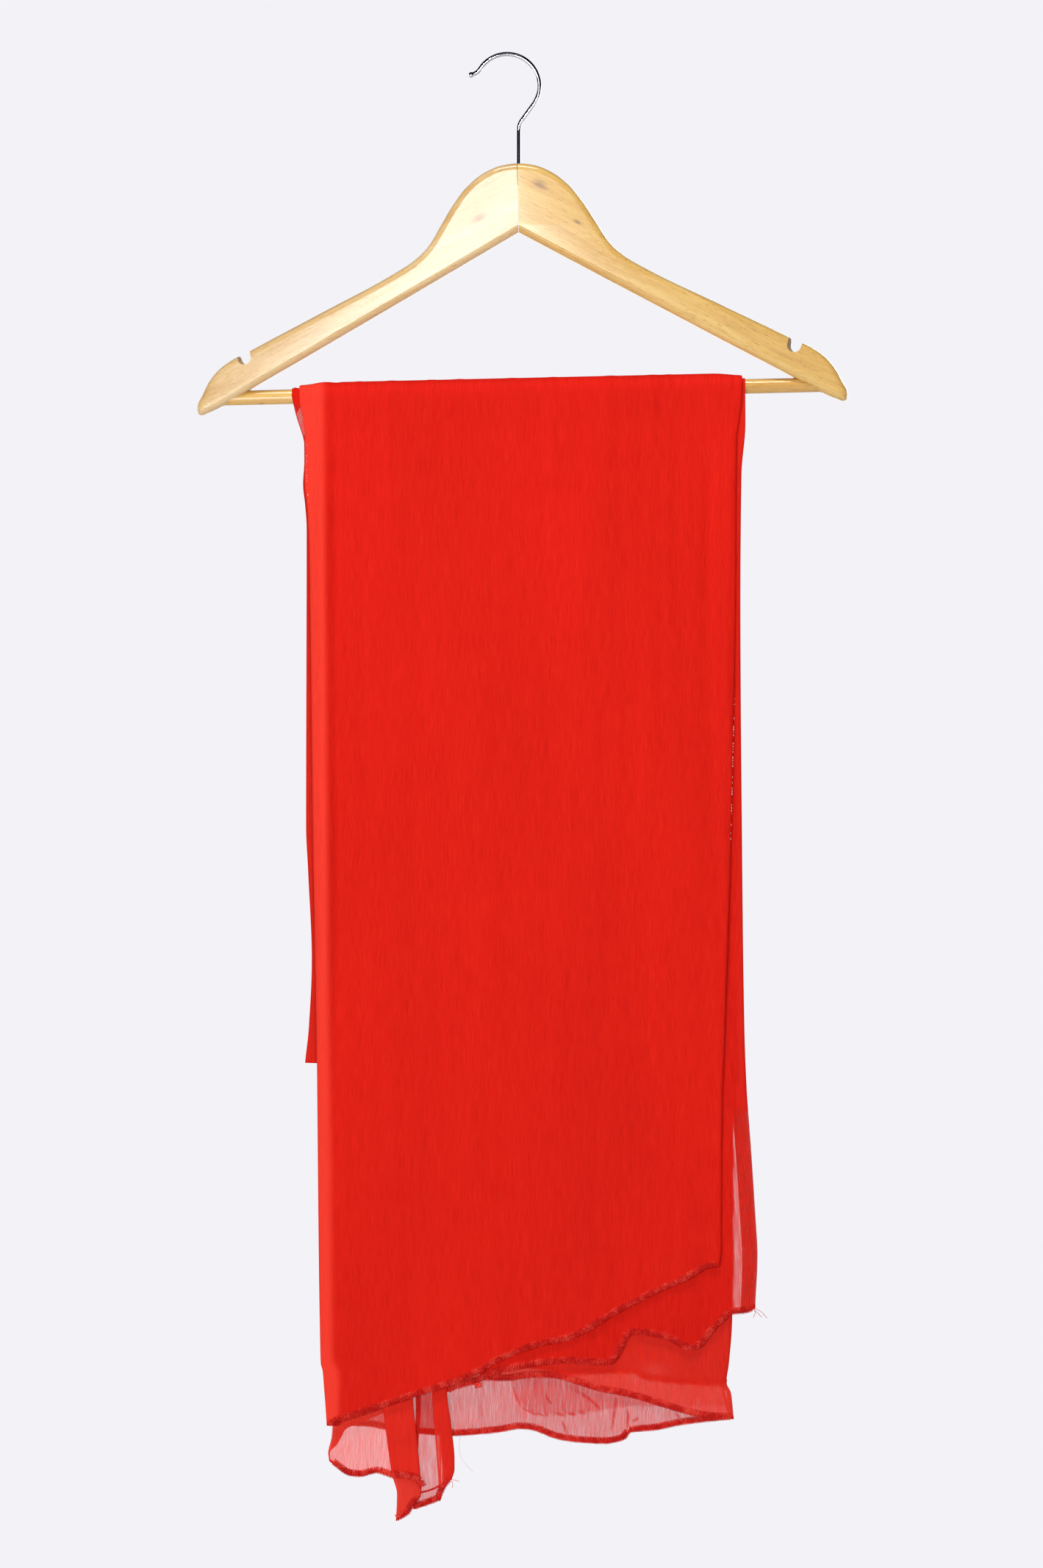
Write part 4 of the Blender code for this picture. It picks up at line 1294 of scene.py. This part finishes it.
def bezier(name, knots, cyclic=False, **settings):
    """A curve through knots, each with its place and the kind of its handles."""
    curve = bpy.data.curves.new(name, "CURVE")
    for key, value in settings.items():
        setattr(curve, key, value)
    spline = curve.splines.new("BEZIER")
    spline.bezier_points.add(len(knots) - 1)
    spline.use_cyclic_u = cyclic
    for point, (place, handle) in zip(spline.bezier_points, knots):
        point.co = place
        point.handle_left_type = handle
        point.handle_right_type = handle
    return into_scene(name, curve)


def mesh_of(obj, *helpers):
    """The evaluated mesh, with doubles merged and faces turned outwards. The objects it came from go."""
    graph = bpy.context.evaluated_depsgraph_get()
    mesh = bpy.data.meshes.new_from_object(obj.evaluated_get(graph), depsgraph=graph)
    bm = bmesh.new()
    bm.from_mesh(mesh)
    bmesh.ops.remove_doubles(bm, verts=bm.verts, dist=1e-6)
    bmesh.ops.recalc_face_normals(bm, faces=bm.faces)
    for used in (obj, *helpers):
        bpy.data.objects.remove(used, do_unlink=True)
    return bm


def cylinder(radius, length, segments, place=Matrix()):
    """Along its own Z axis, moved to its place by a matrix."""
    bm = bmesh.new()
    bmesh.ops.create_cone(
        bm, cap_ends=True, segments=segments, radius1=radius, radius2=radius, depth=length, matrix=place
    )
    return bm


SAWN_WOOD = Paint("sawn_wood", Base_Color=(0.42, 0.25, 0.09, 1.0), Roughness=0.85).material


def dull_notch(bm, axis_place):
    """Gives the sawn walls of the notch the second material."""
    reach = axis_place.inverted()
    for face in bm.faces:
        spot = reach @ face.calc_center_median()
        facing = (reach.to_3x3() @ face.normal).normalized()
        on_wall = abs(math.hypot(spot.x, min(spot.y, 0.0)) - NOTCH_WIDTH / 2) < 0.0004
        if on_wall and abs(facing.z) < 0.2:
            face.material_index = 1


def arm(name, side, material):
    """Side is 1 for the right arm and -1 for the left. The two knots in the middle are corners."""
    knots = [((side * x, z, 0), "VECTOR" if x < 0 else "AUTO") for x, z in ARM_OUTLINE[::side]]
    drawn = bezier(
        name + "_outline", knots, cyclic=True, dimensions="2D", fill_mode="BOTH",
        extrude=ARM_THICK / 2 - ARM_ROUNDING, bevel_depth=ARM_ROUNDING, bevel_resolution=6,
        offset=-ARM_ROUNDING, resolution_u=10,
    )
    bm = mesh_of(drawn)
    place = HANGER @ Euler((math.pi / 2, 0, side * SWEEP)).to_matrix().to_4x4()
    bmesh.ops.transform(bm, matrix=place, verts=bm.verts)
    blank = object_from(bm, name + "_blank")

    mitre = bmesh.new()
    bmesh.ops.create_cube(mitre, size=MITRE_BOX)
    shift = Matrix.Translation((-side * (MITRE_BOX - CLOTH_GAP) / 2, 0, 0))
    bmesh.ops.transform(mitre, matrix=HANGER @ shift, verts=mitre.verts)
    notch = cylinder(NOTCH_WIDTH / 2, 4 * ARM_THICK, 48)
    for vertex in notch.verts:
        if vertex.co.y > 0:
            vertex.co.y += NOTCH_WIDTH * 2
    notch_place = HANGER @ Matrix.Translation((side * NOTCH_AT[0], BAR_Y, NOTCH_AT[1]))
    notch_turn = Euler((0, side * NOTCH_TILT, NOTCH_SLANT)).to_matrix().to_4x4()
    notch_place = notch_place @ notch_turn @ Matrix.Rotation(math.pi / 2, 4, "X")
    bmesh.ops.transform(notch, matrix=notch_place, verts=notch.verts)
    socket = cylinder(BAR_RADIUS + CLOTH_GAP, 2 * (BAR_HALF + CLOTH_GAP), 48, BAR_AXIS)
    bore = cylinder(WIRE_RADIUS + CLOTH_GAP, SHANK_DEPTH * 2, 32, Matrix.Translation(SHANK_FOOT))
    cutters = [
        object_from(shape, name + title)
        for shape, title in ((mitre, "_mitre"), (notch, "_notch"), (socket, "_socket"), (bore, "_bore"))
    ]
    for cutter in cutters:
        modify(blank, "BOOLEAN", cutter.name, operation="DIFFERENCE", object=cutter)
    bm = mesh_of(blank, *cutters)
    dull_notch(bm, notch_place)
    made = object_from(bm, name, material)
    made.data.materials.append(SAWN_WOOD)
    modify(
        made, "BEVEL", "broken_edges", width=EDGE_BREAK, segments=2, limit_method="ANGLE",
        angle_limit=math.radians(55),
    )
    modify(made, "WEIGHTED_NORMAL", "even_shading", keep_sharp=True)
    return made


print("arm builder ready")

# %% [markdown]
# ## Lacquered wood
#
# The arms are a pale hardwood under clear lacquer. The grain runs along each arm, so the coordinates are
# first turned to the arm's slope and then stretched. A slow noise bends the lines, a fine one adds pores, and
# rings round a few points make the knots. The lacquer is the shader's own coat.

# %% Finish the wood
GRAIN_SLOPE = math.radians(27)
KnotMark = namedtuple("KnotMark", "x z size")
RIGHT_KNOTS = [KnotMark(0.0222, -0.0876, 0.0038), KnotMark(0.0480, -0.1130, 0.0016)]
LEFT_KNOTS = [KnotMark(-0.0190, -0.1102, 0.0042)]


def wood_finish(name, slope, knots, tones, ripple=0.10):
    """slope turns the coordinates so that their x runs along the grain; ripple is how uneven the face is."""
    paint = Paint(name, Specular_IOR_Level=0.4, Coat_Weight=1.0, Coat_Roughness=0.11, Coat_IOR=1.6)
    place = paint.node("TexCoord").outputs["Object"]
    drift = paint.noise(paint.stretched(place, 9.0, 9.0, 9.0), 1.0, 2.0, 0.5)
    shift = paint.node("CombineXYZ", Z=paint.maths("MULTIPLY", drift, 0.012)).outputs[0]
    grain_place = paint.vector("ADD", place, shift)
    turn = (0.0, slope, 0.0)
    broad = paint.noise(paint.stretched(grain_place, 7.0, 40.0, 95.0, turn), 1.0, 3.0, 0.55)
    lines = paint.noise(paint.stretched(grain_place, 22.0, 300.0, 620.0, turn), 1.0, 3.0, 0.6)
    pores = paint.noise(paint.stretched(grain_place, 170.0, 1200.0, 2100.0, turn), 1.0, 2.0, 0.5)
    figure = paint.noise(paint.stretched(grain_place, 150.0, 100.0, 260.0, turn), 1.0, 2.0, 0.5)
    grain = paint.weighed(broad, 0.55, lines, 0.45)
    colour = paint.ramp(grain, [(0.34, tones[0]), (0.50, tones[1]), (0.66, tones[2])])
    dashes = paint.ramp(pores, [(0.30, (0.62, 0.48, 0.36)), (0.40, (1.0, 1.0, 1.0))])
    colour = paint.mixed(0.75, colour, dashes, "MULTIPLY")
    for knot in knots:
        offset = paint.vector("SUBTRACT", place, (knot.x, 0.0, knot.z))
        away = paint.vector("LENGTH", paint.stretched(offset, 0.55, 0.0, 1.0, turn))
        ragged = paint.maths("ADD", away, paint.ranged(lines, -0.0010, 0.0010, 0.3, 0.7))
        halo = paint.ranged(ragged, 0.45, 0.0, knot.size * 0.3, knot.size * 2.2)
        core = paint.ranged(ragged, 0.80, 0.0, knot.size * 0.15, knot.size)
        colour = paint.mixed(halo, colour, (*tones[0], 1.0))
        colour = paint.mixed(core, colour, (0.30, 0.15, 0.06, 1.0))
    paint.give("Base Color", colour)
    paint.give("Roughness", paint.ranged(pores, 0.55, 0.40, 0.3, 0.6))
    paint.bump(paint.weighed(figure, 0.8, pores, 0.4), ripple, 0.0004)
    return paint.material


# The left arm's paler tones are painted light: they stand for the brighter light and glare that fall on the
# left arm.
PAINTED_LIGHT_PALE_TONES = [(0.63, 0.37, 0.13), (0.77, 0.50, 0.21), (0.84, 0.61, 0.32)]
GOLDEN_TONES = [(0.66, 0.36, 0.090), (0.80, 0.48, 0.125), (0.86, 0.58, 0.19)]
BAR_TONES = [(0.64, 0.33, 0.070), (0.78, 0.44, 0.105), (0.86, 0.53, 0.15)]
# painted light: the left arm gets the paler, lit tones
left_wood = wood_finish("left_arm_wood", GRAIN_SLOPE, LEFT_KNOTS, PAINTED_LIGHT_PALE_TONES, ripple=0.25)
right_wood = wood_finish("right_arm_wood", -GRAIN_SLOPE, RIGHT_KNOTS, GOLDEN_TONES)
bar_wood = wood_finish("bar_wood", 0.0, [], BAR_TONES)
print("wood finishes:", left_wood.name, right_wood.name, bar_wood.name)

# %% [markdown]
# ## The hook
#
# The hook is one bent chrome wire with a tiny ball that keeps it from scratching. We follow it as a wire
# bender would: run straight, bend by an angle at a radius, and go on.

# %% Bend the hook's wire
HOOK_RADIUS = 0.0218
BALL_RADIUS = 0.00195
HOOK_LAST_RUN = 0.002
Bend = namedtuple("Bend", "run radius turn")
HOOK_BENDS = [
    Bend(0.0373, 0.012, -36),
    Bend(0.0130, HOOK_RADIUS, 184),
    Bend(0.0000, 0.008, -38),
]


def hook_route(step_degrees=3):
    place = Vector((0.0, 0.0))
    heading = math.pi / 2
    points = [place.copy()]
    for bend in HOOK_BENDS:
        straight = bend.run * Vector((math.cos(heading), math.sin(heading)))
        if bend.run > 0:
            points += [place + straight * share for share in (0.25, 0.5, 0.75, 1.0)]
        place = place + straight
        turn = math.radians(bend.turn)
        side = math.copysign(1.0, turn)
        centre = place + bend.radius * side * Vector((-math.sin(heading), math.cos(heading)))
        steps = round(abs(bend.turn) / step_degrees)
        for step in range(1, steps + 1):
            angle = heading + turn * step / steps
            points.append(centre + bend.radius * side * Vector((math.sin(angle), -math.cos(angle))))
        heading += turn
        place = points[-1].copy()
        if bend.radius == HOOK_RADIUS:
            main_centre = centre
    points.append(place + HOOK_LAST_RUN * Vector((math.cos(heading), math.sin(heading))))
    shift = Vector((0.0, WIRE_RADIUS - HOOK_RADIUS)) - main_centre
    return [Vector((p.x + shift.x, 0.0, p.y + shift.y)) for p in points]


ROUTE = hook_route()
SHANK_FOOT = ROUTE[0] + Vector((0, 0, SHANK_DEPTH - CLOTH_GAP))


def chrome_finish():
    """Painted reflection in the base colour: bright where the wire would mirror the paper, almost black where
    it would mirror the unlit part of the room.
    """
    paint = Paint("bright_chrome", Metallic=1.0, Roughness=0.12)
    dark = paint.node("Attribute", {"attribute_name": "painted_dark_reflection"}).outputs["Fac"]
    # painted reflection: the base colour runs from pale to near-black with the painted dark share
    paint.give("Base Color", paint.ramp(dark, [(0.0, (0.80, 0.81, 0.84)), (1.0, (0.012, 0.012, 0.018))]))
    place = paint.node("TexCoord").outputs["Object"]
    haze = paint.noise(place, 260.0, 3.0, 0.6)
    paint.give("Roughness", paint.ranged(haze, 0.05, 0.13))
    paint.bump(paint.noise(place, 900.0, 2.0, 0.5), 0.01, 0.0001)
    return paint.material


def paint_dark_reflection(mesh):
    """Paints a dark reflection: the upper side of the bent wire, and the front and back of its straight
    shank, get the share that turns their base colour near-black, for the dark they would mirror.
    """
    lean = Vector((0.30, 0.25, 0.92))
    shank_top = ROUTE[4].z + 0.0005
    shares = []
    for vertex in mesh.vertices:
        facing = Vector((vertex.normal.x, abs(vertex.normal.y), vertex.normal.z))
        if vertex.co.z < shank_top:
            shares.append(eased((facing.y - 0.72) / 0.14))
        else:
            shares.append(eased((facing.dot(lean) - 0.31) / 0.08))
    mesh.attributes.new("painted_dark_reflection", "FLOAT", "POINT").data.foreach_set("value", [float(s) for s in shares])


def hook(material):
    line = line_object("hook_line", ROUTE)
    line.data.bevel_depth = WIRE_RADIUS
    line.data.bevel_resolution = 10
    line.data.use_fill_caps = True
    wire = object_from(mesh_of(line), "hook_wire")
    ball = bmesh.new()
    bmesh.ops.create_uvsphere(ball, u_segments=32, v_segments=20, radius=BALL_RADIUS)
    bmesh.ops.translate(ball, verts=ball.verts, vec=ROUTE[-1])
    ball = object_from(ball, "hook_ball")
    modify(wire, "BOOLEAN", "ball", operation="UNION", object=ball)
    made = object_from(mesh_of(wire, ball), "chrome_hook", material)
    made.data.set_sharp_from_angle(angle=math.radians(40))
    # painted reflection: store on each point how dark a reflection its base colour gets
    paint_dark_reflection(made.data)
    return made


chrome_hook = hook(chrome_finish())
declare(chrome_hook, "bright_wire", "hook")
print("hook faces:", len(chrome_hook.data.polygons))

# %% Make the arms and the bar
for title, side, wood in (("left_arm", -1, left_wood), ("right_arm", 1, right_wood)):
    made = arm(title + "_lacquered", side, wood)
    declare(made, "lacquered_wood", title)
    print(made.name, len(made.data.polygons), "faces")


def trouser_bar():
    """A turned rod with its ends slightly rounded."""
    bm = cylinder(BAR_RADIUS, 2 * BAR_HALF, 64, BAR_AXIS)
    rims = [e for e in bm.edges if len(e.link_faces) == 2 and e.calc_face_angle() > 1.2]
    bmesh.ops.bevel(bm, geom=rims, offset=0.0006, segments=3, profile=0.5, affect="EDGES")
    return object_from(bm, "bar_lacquered", bar_wood)


bar = trouser_bar()
declare(bar, "lacquered_wood", "bar")
print("bar faces:", len(bar.data.polygons))

# %% [markdown]
# ## Loose threads
#
# Overlocked corners are rarely trimmed clean. A few fine ends stick out, one knot of thread hangs at the
# middle of the hem, and that is what tells the eye that this is sewn cloth and not a sheet.

# %% Leave a few thread ends
HAIR = 0.00011
TUFT_OUT = INNER_RADIUS + 0.0004
THREAD_ENDS = {
    "right_corner_end": [(0.1680, 0.8520), (0.1730, 0.8545), (0.1771, 0.8590)],
    "right_corner_tuft": [(0.1682, 0.8520), (0.1690, 0.8550), (0.1678, 0.8585)],
    "right_corner_hook": [(0.1675, 0.8525), (0.1712, 0.8560), (0.1735, 0.8583)],
    "strip_end": [(-0.0383, 0.9688), (-0.0350, 0.9694), (-0.0328, 0.9702)],
    "strip_tuft": [(-0.0383, 0.9688), (-0.0372, 0.9715), (-0.0374, 0.9746)],
    "knot_curl": [(-0.0225, 0.8972), (-0.0190, 0.8990), (-0.0176, 0.8972), (-0.0160, 0.8992)],
}
PALE_ENDS = {
    "pale_hair": [(-0.0322, 0.9390), (-0.0322, 0.9512), (-0.0295, 0.9568), (-0.0232, 0.9640)],
    "pale_curl": [(-0.0215, 0.8986), (-0.0185, 0.8975), (-0.0172, 0.8998), (-0.0190, 0.9010)],
}


def strand(name, places, radius, material):
    knots = [((x, BAR_Y - TUFT_OUT, -down), "AUTO") for x, down in places]
    drawn = bezier(
        name + "_line", knots, dimensions="3D", bevel_depth=radius, bevel_resolution=1, use_fill_caps=True,
        resolution_u=8,
    )
    declare(object_from(mesh_of(drawn), name, material), "chiffon")


for table, thread, radius in ((THREAD_ENDS, THREAD, HAIR * 1.6), (PALE_ENDS, PALE_THREAD, HAIR)):
    for title, places in table.items():
        strand(title, places, radius, thread)
NUB_LINE = [(-0.0218, BAR_Y - TUFT_OUT, -0.9062), (-0.0172, BAR_Y - TUFT_OUT, -0.9050)]
overlock(
    "thread_nub", NUB_LINE, 3, Pitch=0.0006, Width=0.0030, Depth=0.0022, Thread_radius=0.0004, Unevenness=1.2
)
print("loose ends:", len(THREAD_ENDS) + len(PALE_ENDS), "and one knot of thread")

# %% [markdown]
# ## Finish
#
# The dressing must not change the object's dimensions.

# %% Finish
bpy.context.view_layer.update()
